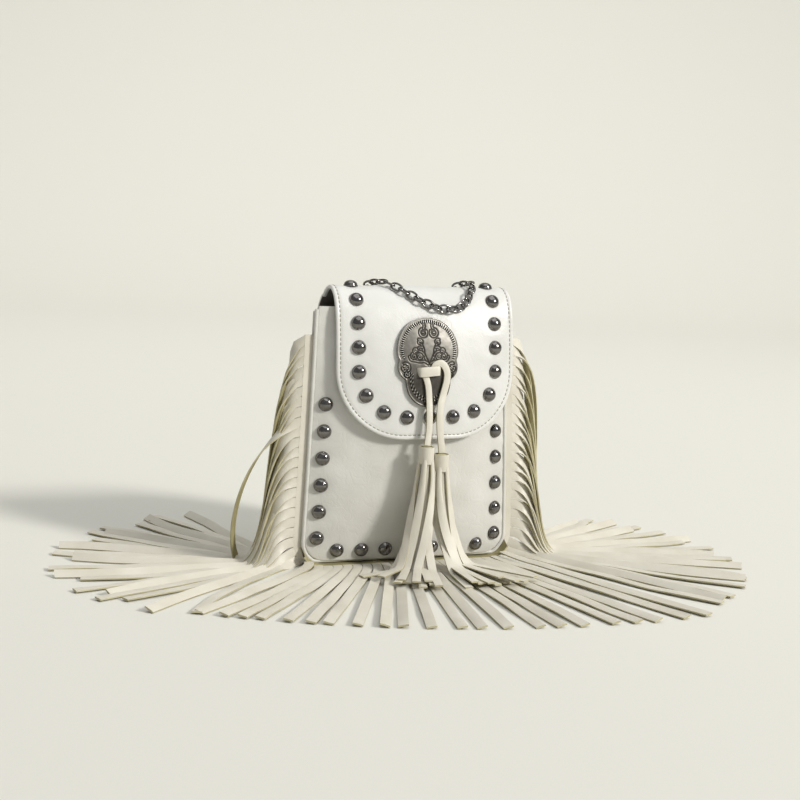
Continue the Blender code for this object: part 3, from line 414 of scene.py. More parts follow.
def flap_point(x, s, off=0.0):
    """Return a point on the flap's outer face, s along it from the hinge, and its outward direction."""
    p, a, b = (at_length(FLAP_LINE, FLAP_TOTAL, v) for v in (s, s - 1.5, s + 1.5))
    t = (b - a).normalized()
    out = Vector((0.0, t.y, -t.x))
    slope = flap_drop(x + 0.5, s) - flap_drop(x - 0.5, s)
    face = (out + Vector((slope, 0.0, 0.0))).normalized()
    base = Vector((x + FLAP_SHIFT, p.x, p.y)) - out * flap_drop(x, s)
    return base + face * off, face


def flap_at_height(z):
    """Return the length along the hanging part of the flap at which its middle is at height z."""
    low, high = FLAP_LENGTH * 0.2, FLAP_LENGTH
    for _ in range(40):
        mid = (low + high) / 2
        low, high = (mid, high) if at_length(FLAP_LINE, FLAP_TOTAL, mid).y > z else (low, mid)
    return (low + high) / 2


def flap_half(s):
    """Half width of the flap at length s, with the large lower corners."""
    d = FLAP_LENGTH - s
    if d >= FLAP_CORNER:
        return FLAP_HALF
    return FLAP_HALF - FLAP_CORNER + math.sqrt(max(0.0, FLAP_CORNER**2 - (FLAP_CORNER - d) ** 2))


def front_point(x, z, off=0.0):
    """Return a point on the front panel's outer face and the face's outward direction."""
    half = half_width(max(z, 5.0)) - 3.0
    u = max(-1.0, min(1.0, x / half))
    swell = through(BULGE, z)
    y, y1 = (through(EDGE_Y, v) - through(BULGE, v) * (1.0 - abs(u) ** 2.4) for v in (z, z + 0.5))
    slope_x = swell * 2.4 * abs(u) ** 1.4 / half * (1 if u > 0 else -1)
    out = Vector((slope_x, -1.0, (y1 - y) / 0.5)).normalized()
    return Vector((x, y, z)) + out * off, out


def lean(z):
    """How far the back's left edge draws in at height z, to end under the flap's left edge."""
    return (half_width(z) - 0.5 - (FLAP_HALF - FLAP_SHIFT)) * smoothstep((z - 100.0) / 50.0)


print("flap length from fold to hem, mm:", round(FLAP_LENGTH, 1))

# %% [markdown]
# Every piece made here is a mesh at the origin, in metres. One helper makes it, joins it to a body of
# the frame, and hides the solid that it stands for. Sheets are two grids of points, outer and inner.

# %% Mesh helpers


def mesh_data(name, verts, faces):
    """Return smooth mesh data from millimetre points."""
    mesh = bpy.data.meshes.new(name)
    mesh.from_pydata([Vector(v) * MM for v in verts], [], faces)
    mesh.polygons.foreach_set("use_smooth", [True] * len(mesh.polygons))
    return mesh


def hang(obj, body, replaces=()):
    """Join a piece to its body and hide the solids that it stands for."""
    if body:
        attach(obj, body)
    if replaces:
        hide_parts(*replaces)


def piece(name, verts, faces, mats, body, replaces=(), sharp=40.0, slots=None, gap=None):
    """Make one finished mesh piece from millimetre points, weld it, and hang it on its body."""
    mesh = mesh_data(name, verts, faces)
    for mat in mats:
        mesh.materials.append(mat)
    if slots is not None:
        mesh.polygons.foreach_set("material_index", slots)
    mesh.set_sharp_from_angle(angle=math.radians(sharp))
    mesh.update()
    obj = place_object(name, mesh)
    hang(obj, body, replaces)
    if gap is not None:
        weld(obj, gap)
    return obj


def weld(obj, gap):
    """Merge points closer than a gap in millimetres and turn faces outward."""
    bm = bmesh.new()
    bm.from_mesh(obj.data)
    if gap:
        bmesh.ops.remove_doubles(bm, verts=bm.verts, dist=gap * MM)
    bmesh.ops.recalc_face_normals(bm, faces=bm.faces)
    bm.to_mesh(obj.data)
    bm.free()


def band_faces(count, sides, first=0, wrap=False, turned=False):
    """Return the quads that join rings of points with the same number of sides."""
    faces = []
    for i in range(count if wrap else count - 1):
        a = first + i * sides
        b = first + (i + 1) % count * sides
        for k in range(sides):
            k2 = (k + 1) % sides
            quad = (a + k, a + k2, b + k2, b + k)
            faces.append(quad[::-1] if turned else quad)
    return faces


def sheet_piece(name, outer, inner, mats, body, solid, sharp, gap, rows, cols=(), lined=None):
    """Build a closed sheet from two grids of points, shut along the named rows and columns."""
    count = len(outer[0])
    verts = [p for tops, unders in zip(outer, inner) for pair in zip(tops, unders) for p in pair]

    def at(spot, k):
        return (spot[0] * count + spot[1]) * 2 + k

    faces = []
    slots = []
    for r in range(len(outer) - 1):
        for c in range(count - 1):
            quad = ((r, c), (r, c + 1), (r + 1, c + 1), (r + 1, c))
            faces += [tuple(at(q, 0) for q in quad), tuple(at(q, 1) for q in reversed(quad))]
            slots += [0, lined(r, c) if lined else 1]
    shut = [((r, c), (r, c + 1)) for r in rows for c in range(count - 1)]
    shut += [((r, c), (r + 1, c)) for c in cols for r in range(len(outer) - 1)]
    faces += [(at(p, 0), at(p, 1), at(q, 1), at(q, 0)) for p, q in shut]
    slots += [0] * len(shut)
    return piece(name, verts, faces, mats, body, [solid], sharp, slots, gap)


def ripple(x, y, z, size, seed):
    """Return smooth noise from -1 to 1 for a place, with features of a size in millimetres."""
    return noise.noise(Vector((x / size + seed, y / size, z / size)))


def stitch_mesh():
    """Return one lock stitch: a short thread with its ends sunk in the leather."""
    sides = 8
    rings = [(-1.25, -0.42, 0.10), (-1.05, -0.1, 0.26), (-0.5, 0.16, 0.31), (0.5, 0.16, 0.31)]
    rings += [(1.05, -0.1, 0.26), (1.25, -0.42, 0.10)]
    verts = [(x, r * c, lift + r * s) for x, lift, r in rings for c, s in circle(sides)]
    faces = band_faces(len(rings), sides, turned=True)
    last = (len(rings) - 1) * sides
    return verts, faces + [tuple(range(sides)), tuple(last + k for k in reversed(range(sides)))]


print("mesh helpers ready")

# %% [markdown]
# Rivets, stitches and links repeat, so they are Geometry Nodes. Each place is a point that carries a
# turn as a vector of three angles. The tree puts one copy of a source on every point, then realises
# the copies and gives them their finish.

# %% Geometry Nodes: copies at places


def scatter(name, places, unit, mat, body, replaces=(), jitter=0.0):
    """Copy a small mesh to each (point, turn) place with a node tree, and keep the result as a mesh."""
    source = place_object(name + "_unit", mesh_data(name + "_unit", *unit))
    cloud = bpy.data.meshes.new(name)
    cloud.from_pydata([p * MM for p, turn in places], [], [])
    spin = cloud.attributes.new("turn", "FLOAT_VECTOR", "POINT")
    spin.data.foreach_set("vector", [a for p, turn in places for a in turn.to_euler()])
    host = place_object(name, cloud)
    tree = bpy.data.node_groups.new(name + "_copies", "GeometryNodeTree")
    face = tree.interface
    face.new_socket(name="Geometry", in_out="INPUT", socket_type="NodeSocketGeometry")
    size_socket = face.new_socket(name="Size", in_out="INPUT", socket_type="NodeSocketFloat")
    vary_socket = face.new_socket(name="Size variation", in_out="INPUT", socket_type="NodeSocketFloat")
    face.new_socket(name="Geometry", in_out="OUTPUT", socket_type="NodeSocketGeometry")
    start = add(tree, "NodeGroupInput").outputs
    end = add(tree, "NodeGroupOutput")
    info = add(tree, "GeometryNodeObjectInfo", {"Object": source})
    turn = add(tree, "GeometryNodeInputNamedAttribute", {"Name": "turn"}, data_type="FLOAT_VECTOR")
    low = add(tree, "ShaderNodeMath", links={0: start[1], 1: start[2]}, operation="SUBTRACT")
    high = add(tree, "ShaderNodeMath", links={0: start[1], 1: start[2]}, operation="ADD")
    limits = {2: low.outputs[0], 3: high.outputs[0]}
    size = add(tree, "FunctionNodeRandomValue", {"Seed": 7}, limits, data_type="FLOAT")
    links = {"Points": start[0], "Instance": info.outputs["Geometry"]}
    links.update({"Rotation": turn.outputs["Attribute"], "Scale": size.outputs[1]})
    copies = add(tree, "GeometryNodeInstanceOnPoints", links=links)
    real = add(tree, "GeometryNodeRealizeInstances", links={"Geometry": copies.outputs["Instances"]})
    coat = add(tree, "GeometryNodeSetMaterial", {"Material": mat}, {"Geometry": real.outputs["Geometry"]})
    tree.links.new(coat.outputs["Geometry"], end.inputs[0])
    mod = host.modifiers.new("copies", "NODES")
    mod.node_group = tree
    mod[size_socket.identifier] = 1.0
    mod[vary_socket.identifier] = jitter
    bpy.context.view_layer.update()
    seen = host.evaluated_get(bpy.context.evaluated_depsgraph_get())
    made = bpy.data.meshes.new_from_object(seen)
    host.modifiers.remove(mod)
    host.data = made
    if not made.materials:
        made.materials.append(mat)
    bpy.data.objects.remove(source, do_unlink=True)
    hang(host, body, replaces)
    print(name, "copies:", len(places), "faces:", len(made.polygons))
    return host


def turn_to(out, along=None):
    """Return the turn that takes +Z to out and +X as near along as it goes."""
    z = out.normalized()
    x = along if along is not None else Vector((1.0, 0.0, 0.0))
    x = (x - z * x.dot(z)).normalized()
    return Matrix((x, z.cross(x), z)).transposed()


print("copy tree ready")

# %% [markdown]
# Where the rivets sit matters before the leather is made, because each one pulls a small dimple into
# the leather around it. The flap's row follows its edge; the pouch's row follows the front seam.

# %% Rivet places
FOLD_START = 17.0
FLAP_RIVET_GAPS = 16
POUCH_RIVET_INSET = 9.8
SIDE_RIVET_PITCH = 17.6
BASE_RIVET_PITCH = 16.5
BASE_RIVET_Z = 10.4
DIMPLE_DEEP = 0.55


def flap_walk(inset, start, marks):
    """Return (x, s, direction) round the flap's edge, fold to fold, at the lengths that marks gives."""
    r = FLAP_CORNER - inset
    inner = FLAP_HALF - FLAP_CORNER
    straight = FLAP_LENGTH - FLAP_CORNER - start
    arc = math.pi / 2 * r
    whole = 2 * straight + 2 * arc + 2 * inner
    out = []
    for d in marks(whole):
        mirror = 1.0
        if d > whole / 2:
            d = whole - d
            mirror = -1.0
        if d <= straight:
            out.append(((inset - FLAP_HALF) * mirror, start + d, (0.0, 1.0)))
        elif d <= straight + arc:
            w = (d - straight) / r
            s = FLAP_LENGTH - FLAP_CORNER + r * math.sin(w)
            out.append((-(inner + r * math.cos(w)) * mirror, s, (math.sin(w) * mirror, math.cos(w))))
        else:
            out.append(((d - straight - arc - inner) * mirror, FLAP_LENGTH - inset, (1.0, 0.0)))
    return out


def rivet_marks(whole):
    """Return the running lengths of the flap's rivets."""
    return [whole * k / FLAP_RIVET_GAPS for k in range(FLAP_RIVET_GAPS + 1)]


def pouch_rivet_places():
    """Return (x, z) of the rivets down the sides and along the base of the front panel."""
    left = [106.8 - SIDE_RIVET_PITCH * k for k in range(6)]
    right = [17.0 + SIDE_RIVET_PITCH * k for k in range(6)]
    places = [(POUCH_RIVET_INSET - half_width(z), z) for z in left]
    places += [(BASE_RIVET_PITCH * (k - 3), BASE_RIVET_Z) for k in range(7)]
    return places + [(half_width(z) - POUCH_RIVET_INSET, z) for z in right]


FLAP_RIVETS = [(x, s) for x, s, way in flap_walk(RIVET_INSET, FOLD_START, rivet_marks)]
POUCH_RIVETS = pouch_rivet_places()


def dimple(x, v, places):
    """Return how far leather is pulled in near rivets, in millimetres."""
    near = [(x - px) ** 2 + (v - pv) ** 2 for px, pv in places]
    return max([DIMPLE_DEEP * math.exp(-r2 / 42.0) for r2 in near if r2 < 170.0], default=0.0)


print("rivets on flap and pouch:", len(FLAP_RIVETS), len(POUCH_RIVETS))

# %% [markdown]
# The flap is two layers with a turned, stitched edge. Its outline is known, so the distance to that
# outline gives the whole cross-section: a round edge, a groove where the stitches pull, and a soft rise
# behind them. The skin is two grids, top and underside, that meet along the rounded edge.

# %% Flap
FINE = [0.0, 0.08, 0.3, 0.65, 1.2, 1.8, 2.3, 2.7, 3.1, 3.6, 4.3, 5.4]
STITCH_INSET = 2.9
STITCH_STEP = 3.1
STITCH_START = 2.0


def flap_inset(x, s):
    """Return how far a place on the flap is from its outline."""
    side = FLAP_HALF - abs(x)
    hem = FLAP_LENGTH - s
    if hem < FLAP_CORNER and side < FLAP_CORNER:
        return FLAP_CORNER - math.hypot(FLAP_CORNER - side, FLAP_CORNER - hem)
    return min(side, hem)


def edge_round(d, thick):
    """Return how far a sheet's face lies under its full height at distance d from its edge."""
    r = thick / 2
    if d >= r:
        return 0.0
    return r - math.sqrt(max(0.0, r * r - (r - d) ** 2))


def near_far(full, fine, step):
    """Return distances from an edge to the middle: close together at the edge, even further in."""
    out = [d for d in fine if d < full]
    last = out[-1]
    count = max(1, round((full - last) / step))
    return out + [last + (full - last) * (k + 1) / count for k in range(count)]


def even_cols(scale, step):
    """Return columns from -1 to 1 that crowd toward both edges."""
    half = near_far(1.0, [d / scale for d in FINE], step)
    return [-1.0 + c for c in half] + [1.0 - c for c in reversed(half[:-1])]


def flap_skin(x, s):
    """Return the top face's rise at a place: edge, stitch groove, dimples and soft waves."""
    d = max(0.0, flap_inset(x, s))
    groove = 0.34 * math.exp(-(((d - STITCH_INSET) / 0.75) ** 2))
    swell = 0.22 * smoothstep((d - 3.5) / 4.0)
    wave = 0.28 * ripple(x, s, 0, 26.0, 3.0) + 0.10 * ripple(x, s, 0, 9.0, 8.0)
    return -edge_round(d, FLAP_THICK) - groove + swell * 0.4 - dimple(x, s, FLAP_RIVETS) + wave * smoothstep(d / 6.0)


def make_flap():
    """Build the flap's skin and underside as one closed piece."""
    rows = [FLAP_LENGTH - d for d in near_far(FLAP_LENGTH, FINE, 1.5)][::-1]
    cols = even_cols(FLAP_HALF, 0.026)
    outer = []
    inner = []
    for s in rows:
        xs = [c * flap_half(s) for c in cols]
        outer.append([flap_point(x, s, flap_skin(x, s))[0] for x in xs])
        rises = [edge_round(max(0.0, flap_inset(x, s)), FLAP_THICK) for x in xs]
        inner.append([flap_point(x, s, rise - FLAP_THICK)[0] for x, rise in zip(xs, rises)])

    def lined(r, c):
        return 1 if flap_inset(cols[c] * flap_half(rows[r]), rows[r]) > 2.0 else 0

    coats = [flap_leather, lining]
    return sheet_piece(
        "flap_leather_skin", outer, inner, coats, FLAP, "flap", 75.0, 0.02, (0,), lined=lined
    )


flap_skin_piece = make_flap()
print("flap faces:", len(flap_skin_piece.data.polygons))

# %% Flap stitching


def stitch_marks(whole):
    """Return the running lengths of the stitches' middles."""
    count = round(whole / STITCH_STEP)
    return [whole * (k + 0.5) / count for k in range(count)]


def flap_stitch_places():
    """Return the places of the stitches in the flap's groove."""
    places = []
    for x, s, (dx, ds) in flap_walk(STITCH_INSET, STITCH_START, stitch_marks):
        lift = flap_skin(x, s) + 0.05
        p, out = flap_point(x, s, lift)
        q, _ = flap_point(x + dx, s + ds, lift)
        places.append((p, turn_to(out, (q - p).normalized())))
    return places


scatter("flap_stitches", flap_stitch_places(), stitch_mesh(), thread, FLAP)

# %% [markdown]
# The front panel is a soft sheet that pillows over the bag's filling. The same edge section is used,
# with shallow puckers running in from the welt, where a curved seam gathers the leather.

# %% Front panel
PANEL_LOW = 2.9
PANEL_CORNER = 14.0
PANEL_IN = 2.2
PANEL_TOP = 169.5


def panel_half(z):
    """Half width of the front panel at height z."""
    h = z - PANEL_LOW
    if h >= PANEL_CORNER:
        return half_width(z) - PANEL_IN
    return BASE_HALF - PANEL_IN - PANEL_CORNER + math.sqrt(max(0.0, PANEL_CORNER**2 - (PANEL_CORNER - h) ** 2))


def panel_inset(x, z):
    """Return how far a place on the front panel is from its outline."""
    side = (half_width(max(z, CORNER)) - PANEL_IN) - abs(x)
    low = z - PANEL_LOW
    if low < PANEL_CORNER and side < PANEL_CORNER:
        return PANEL_CORNER - math.hypot(PANEL_CORNER - side, PANEL_CORNER - low)
    return min(side, low, PANEL_TOP - z + 2.0)


def panel_skin(x, z):
    """Return the front panel's rise: edge, puckers, dimples and soft waves."""
    d = max(0.0, panel_inset(x, z))
    pucker = 0.35 * ripple(x * 0.3, z, 0, 5.5, 1.0) * math.exp(-d / 7.0)
    wave = 0.75 * ripple(x, z, 0, 34.0, 5.0) + 0.25 * ripple(x, z, 0, 13.0, 9.0)
    slack = -0.36 * math.exp(-(((z - 48.0 + 0.35 * x) / 7.0) ** 2)) * smoothstep((d - 6.0) / 20.0)
    return -edge_round(d, LEATHER) + (wave + slack) * smoothstep(d / 12.0) + pucker - dimple(x, z, POUCH_RIVETS)


def make_front_panel():
    """Build the front panel as a closed, pillowed sheet."""
    cols = even_cols(70.0, 0.03)
    outer = []
    inner = []
    for z in [PANEL_LOW + d for d in near_far(PANEL_TOP - PANEL_LOW, FINE, 2.0)]:
        outer.append([])
        inner.append([])
        for x in [c * panel_half(z) for c in cols]:
            p, out = front_point(x, z)
            outer[-1].append(p + out * panel_skin(x, z))
            inner[-1].append(p - out * (LEATHER - edge_round(max(0.0, panel_inset(x, z)), LEATHER)))
    last = (len(outer) - 1,)
    return sheet_piece(
        "front_panel_skin", outer, inner, POUCH_COATS, POUCH, "front_panel", 75.0, 0.02, last
    )


front_skin_piece = make_front_panel()
print("front panel faces:", len(front_skin_piece.data.polygons))

# %% [markdown]
# The back panel and the gusset are plainer sheets, seen from behind and from the sides. The gusset
# folds in a little toward the top, as the side of a soft bag does when it is shut.

# %% Back panel and gusset
BACK_LINE = smooth_line(BACK_PROFILE, 20)
BACK_TOTAL = line_lengths(BACK_LINE)
BACK_ROWS = 70
BACK_COLS = 40
GUSSET_TOP = 166.0
GUSSET_THICK = 1.8
GUSSET_COLS = 16


def plain_sheet(name, rows, sign, thick, solid):
    """Build a closed sheet of even thickness under a grid of outer points."""
    inner = []
    high, wide = len(rows) - 1, len(rows[0]) - 1
    for r, row in enumerate(rows):
        inner.append([])
        for c, p in enumerate(row):
            across = row[min(c + 1, wide)] - row[max(c - 1, 0)]
            up = rows[min(r + 1, high)][c] - rows[max(r - 1, 0)][c]
            inner[-1].append(p - across.cross(up).normalized() * sign * thick)
    return sheet_piece(
        name, rows, inner, POUCH_COATS, POUCH, solid, 50.0, 0.001, (0, high), (0, wide)
    )


def make_back_panel():
    """Build the back panel, drawn in to the flap's width at its top, with soft waves."""
    total = BACK_TOTAL[-1]
    rows = []
    for r in range(BACK_ROWS + 1):
        curl = CORNER * (1.0 - math.cos(math.pi / 2 * r / 10))
        s = curl if r <= 10 else CORNER + (total - CORNER) * (r - 10) / (BACK_ROWS - 10)
        p = at_length(BACK_LINE, BACK_TOTAL, s)
        half = half_width(p.y - 0.4) - 0.5
        left = -half + lean(p.y)
        right = half + (FLAP_HALF + FLAP_SHIFT - half) * smoothstep((s - 138.0) / (total - 138.0))
        row = []
        for c in range(BACK_COLS + 1):
            u = -1.0 + 2.0 * c / BACK_COLS
            soft = 1.5 * abs(u) ** 3 * smoothstep((total - s) / 30.0)
            rest = smoothstep((total - s) / 25.0) * smoothstep(s / 20.0) * (1.0 - abs(u) ** 4)
            soft += 0.30 * (1.0 + ripple(u * half, s, 7.0, 30.0, 2.0)) * rest
            row.append(Vector(((left + right) / 2 + u * (right - left) / 2, p.x - soft, p.y)))
        rows.append(row)
    return plain_sheet("back_panel_skin", rows, -1.0, LEATHER - 0.3, "back_panel")


def seam_path(inset, top, steps, side_steps):
    """Return (x, z, outward) along the pouch's outline, left top to right top."""
    pts = []
    r = CORNER - inset
    for k in range(side_steps):
        z = top + (CORNER - top) * k / side_steps
        pts.append((-(half_width(z) - inset), z, Vector((-1, 0, 0))))
    for k in range(steps + 1):
        w = math.pi / 2 * k / steps
        d = Vector((-math.cos(w), 0, -math.sin(w)))
        pts.append((-(BASE_HALF - CORNER) + d.x * r, CORNER + d.z * r, d))
    mirrored = [(-x, z, Vector((-d.x, 0, d.z))) for x, z, d in reversed(pts)]
    base = [(-(BASE_HALF - CORNER) * (1.0 - k / 10.0), inset, -UP) for k in range(1, 20)]
    return pts + base + mirrored


def make_gusset():
    """Build the gusset strip, dished along its sides."""
    rows = []
    for x, z, d in seam_path(0.0, GUSSET_TOP, 12, 50):
        front = through(EDGE_Y, z) + 3.95
        back = through(BACK_Y, z) - LEATHER - 2.15 - 3.0 * smoothstep((z - 122.0) / 26.0)
        row = []
        for c in range(GUSSET_COLS + 1):
            u = c / GUSSET_COLS
            dish = math.sin(math.pi * u)
            dip = 3.0 * dish * smoothstep((z - 20) / 60.0)
            dip += 0.35 * (1.0 + ripple(0.0, u * 30.0, z, 14.0, 4.0)) * dish * smoothstep((z - 6) / 20)
            draw = lean(z) * u**3 if x < 0 else 0.0
            row.append(Vector((x + draw, front + (back - front) * u, z)) - d * dip)
        rows.append(row)
    facing = (rows[10][9] - rows[10][7]).cross(rows[11][8] - rows[9][8]).x
    return plain_sheet("gusset_skin", rows, -1.0 if facing > 0 else 1.0, GUSSET_THICK, "gusset")


make_back_panel()
make_gusset()
print("back panel and gusset made")

# %% [markdown]
# A welt is a cord wrapped in leather and sewn into the seam. A round tube along the seam gives it,
# with a slight swelling between stitches.

# %% Welt
WELT_R = 1.3
WELT_SIDES = 12
WELT_INSET = 1.45


def welt_line():
    """Return the welt's middle line, left top to right top."""
    line = []
    for x, z, d in seam_path(WELT_INSET, PANEL_TOP - 2.0, 14, 60):
        lift = max(0.0, 1.6 - max(0.0, z - WELT_INSET)) if z < 3.1 else 0.0
        line.append(Vector((x, through(EDGE_Y, z) + 0.8, z + lift)))
    return line


def make_welt():
    """Build the welt as a capped round tube along the seam."""
    line = welt_line()
    verts = []
    side = heading(line, 0).cross(Vector((0.0, 1.0, 0.0))).normalized()
    for i, p in enumerate(line):
        t = heading(line, i)
        side = (side - t * side.dot(t)).normalized()
        r = WELT_R * (1.0 + 0.03 * math.sin(i * 1.7))
        verts += [p + (side * c + t.cross(side) * s) * r for c, s in circle(WELT_SIDES)]
    faces = band_faces(len(line), WELT_SIDES)
    faces.append(tuple(reversed(range(WELT_SIDES))))
    faces.append(tuple(len(verts) - WELT_SIDES + k for k in range(WELT_SIDES)))
    piece("front_welt", verts, faces, [pouch_leather], POUCH, ["front_piping"], 60.0, gap=0.001)


make_welt()
print("welt made")

# %% [markdown]
# A domed rivet is a thin pressed shell: a short lip against the leather and a smooth dome. Turning one
# outline gives it, and the same node tree puts it on all the places.

# %% Rivets
DOME_SIDES = 32
LIP_TOP = 0.62


def dome_mesh():
    """Return one rivet head: a lip and a dome turned about Z."""
    outline = [(RIVET_R, -0.35), (RIVET_R + 0.05, 0.1), (RIVET_R, 0.45), (RIVET_R * 0.955, LIP_TOP)]
    for k in range(1, 9):
        w = math.pi / 2 * k / 9
        outline.append((RIVET_R * 0.94 * math.cos(w), LIP_TOP + (RIVET_H - LIP_TOP) * math.sin(w)))
    verts = [(r * c, r * s, h) for r, h in outline for c, s in circle(DOME_SIDES)]
    faces = band_faces(len(outline), DOME_SIDES)
    hub = len(verts)
    last = hub - DOME_SIDES
    faces += [(last + k, last + (k + 1) % DOME_SIDES, hub) for k in range(DOME_SIDES)]
    faces.append(tuple(reversed(range(DOME_SIDES))))
    return verts + [(0.0, 0.0, RIVET_H)], faces


dome = dome_mesh()
for name, body, places, point, solid in (
    ("flap_rivet_heads", FLAP, FLAP_RIVETS, flap_point, "flap_rivet"),
    ("pouch_rivet_heads", POUCH, POUCH_RIVETS, front_point, "body_rivet"),
):
    heads = [(point(x, v, -0.2)[0], turn_to(point(x, v)[1])) for x, v in places]
    nodes = [f"{solid}_{k + 1:02d}" for k in range(len(places))]
    scatter(name, heads, dome, gunmetal, body, nodes)

# %% [markdown]
# The fringe is cut from one long band. Its uncut edge is sewn into the seam; every strip leaves it on
# edge, turns flat as it falls, and lies along the floor. Each strip here is swept along a smooth curve
# with a flat section: coat on one face, backing on the other, and a cut edge between them.

# %% Fringe sizes
STRIP = 6.2
STRIP_GAP = 0.4
STRIP_THICK = 1.2
HEADER = 4.6
SIDE_TOP = 151.0
SIDE_STRIPS = 23
BASE_STRIPS = 22
FAN_LEFT = (-167.0, -44.0)
FAN_RIGHT = (132.0, 22.0)
FAN_BASE = (-52.0, 24.0)
REACH_LEFT = (135.0, 0.22)
REACH_RIGHT = (172.0, -0.28)
REACH_BASE = (155.0, 20.0)
STAND_OUT = 20.0
FALL_OUT = 8.0
FALL_BACK = 8.0
LAND_NEAR = 25.0
LAND_RISE = 0.09
STRIP_ROLL = 32.0
FLAT_ROLL = 4.0
LOOSE = 8
FLOOR = 0.1 + STRIP_THICK / 2
PITCH = STRIP + STRIP_GAP
SECTION = (-0.5, -0.28, 0.0, 0.28, 0.5)


def wander(seed, amount):
    """Return a small repeatable number for a seed."""
    return amount * math.sin(seed * 12.9898 + 4.1)


def floor_dir(degrees):
    """Direction on the floor, in degrees from straight ahead, positive to the right."""
    a = math.radians(degrees)
    return Vector((math.sin(a), -math.cos(a), 0.0))


class Mesh:
    """Points, faces and finish slots gathered for one piece: coat 0, backing 1, cut edge 2."""

    def __init__(self):
        self.verts = []
        self.faces = []
        self.slots = []

    def face(self, slot, *corners):
        """Add one face."""
        self.faces.append(corners)
        self.slots.append(slot)

    def strip(self, path, widths, wides, thick, cups=None):
        """Sweep the flat section of a cut strip along a path."""
        first = len(self.verts)
        for i, (p, w) in enumerate(zip(path, widths)):
            up = heading(path, i).cross(w).normalized()
            cup = cups[i] if cups else 0.0
            for side in (1, -1):
                for a in SECTION:
                    soft = 0.12 if abs(a) > 0.4 else 0.0
                    high = side * (thick / 2 - soft) + cup * (0.25 - a * a) * 4.0
                    self.verts.append(p + w * (a * wides[i]) + up * high)
        m = len(SECTION)
        last = len(self.verts) - 2 * m
        for a in range(first, last, 2 * m):
            b = a + 2 * m
            for k in range(m - 1):
                self.face(0, a + k, b + k, b + k + 1, a + k + 1)
                self.face(1, a + m + k, a + m + k + 1, b + m + k + 1, b + m + k)
            self.face(2, a, a + m, b + m, b)
            self.face(2, a + m - 1, b + m - 1, b + 2 * m - 1, a + 2 * m - 1)
        for k in range(m - 1):
            self.face(2, first + k, first + k + 1, first + m + k + 1, first + m + k)
            self.face(2, last + k, last + m + k, last + m + k + 1, last + k + 1)

    def band(self, head, foot, thick):
        """Add the uncut band between two equal lines of points."""
        first = len(self.verts)
        for k, (p, q) in enumerate(zip(head, foot)):
            out = (q - p).normalized().cross(heading(head, k)).normalized() * thick / 2
            self.verts += [p + out, p - out, q + out, q - out]
        for a in range(first, len(self.verts) - 4, 4):
            b = a + 4
            self.face(0, a, b, b + 2, a + 2)
            self.face(1, a + 1, a + 3, b + 3, b + 1)
            self.face(2, a, a + 1, b + 1, b)
            self.face(2, a + 2, b + 2, b + 3, a + 3)

    def finish(self, name, body, solid, sharp, gap=0.0001):
        """Turn what was gathered into a piece of strip leather."""
        return piece(name, self.verts, self.faces, STRIP_COATS, body, [solid], sharp, self.slots, gap)


print("strips each side and on the base:", SIDE_STRIPS, BASE_STRIPS)

# %% Side fringe
SIDE_STOPS = 44


def side_roots(sign):
    """Return (point, outward) at every cut of a side fringe, top to corner."""
    roots = []
    straight = SIDE_TOP - CORNER
    for k in range(2 * SIDE_STRIPS):
        s = (k // 2) * PITCH + (k % 2) * STRIP
        if s <= straight:
            z = SIDE_TOP - s
            roots.append((Vector((sign * half_width(z), through(EDGE_Y, z) + 3.0, z)), Vector((sign, 0, 0))))
        else:
            w = (s - straight) / (CORNER + HEADER)
            d = Vector((sign * math.cos(w), 0, -math.sin(w)))
            c = Vector((sign * (BASE_HALF - CORNER), through(EDGE_Y, CORNER) + 3.0, CORNER))
            roots.append((c + d * CORNER, d))
    return roots


def side_fan(sign):
    """Return the floor direction, landing distance and whole reach of each side strip."""
    angle, last = FAN_LEFT if sign < 0 else FAN_RIGHT
    near, rise = REACH_LEFT if sign < 0 else REACH_RIGHT
    heights = [max(SIDE_TOP - k * PITCH, 8.0) for k in range(SIDE_STRIPS)]
    lands = [LAND_NEAR + LAND_RISE * z for z in heights]
    steps = [2.0 / (a + b) for a, b in zip(lands, lands[1:])]
    share = (last - angle) / sum(steps)
    fan = []
    for z, land, step in zip(heights, lands, steps + [0.0]):
        fan.append((angle, land, near + rise * z))
        angle += share * step
    return fan


def side_strip(k, sign, start, out, fan):
    """Return one side strip's curve, the running length where it lands and its floor direction."""
    angle, land, reach = fan
    d = floor_dir(angle + wander(k + 3 * sign, 1.2))
    level = Vector((out.x, out.y, 0.0)).normalized()
    flat = Vector((start.x, start.y, FLOOR)) + level * FALL_OUT
    rest = flat + d * land
    high = smoothstep((start.z - 110.0) / 40.0) if sign > 0 else 0.0
    stand = (STAND_OUT + 8.0 * high) * min(1.0, start.z / 30.0) * (1.0 + wander(k * 3.1 + sign, 0.16))
    p1 = start + level * stand + d * 6.0
    if start.z < 14.0:
        p1.z = max(FLOOR, start.z * 0.6)
    p2 = flat + d * FALL_BACK
    if sign < 0 and k == LOOSE:
        p1 += level * 14.0 - UP * 14.0
        p2 += level * 34.0 + UP * 24.0
    curve = bezier(start, p1, p2, rest, 60)
    used = line_lengths(curve)[-1]
    away = reach + wander(k * 1.7 + sign, 7.0) - FALL_OUT - land
    turn = Matrix.Rotation(math.radians(wander(k * 2.3 + sign, 9.0)), 3, "Z")
    mid = rest + d * (away * 0.5)
    tip = mid + (turn @ d) * (away * 0.5)
    curve += bezier(rest, rest + d * away * 0.33, mid + d * away * 0.15, tip, 24, 1)
    return curve, used, d


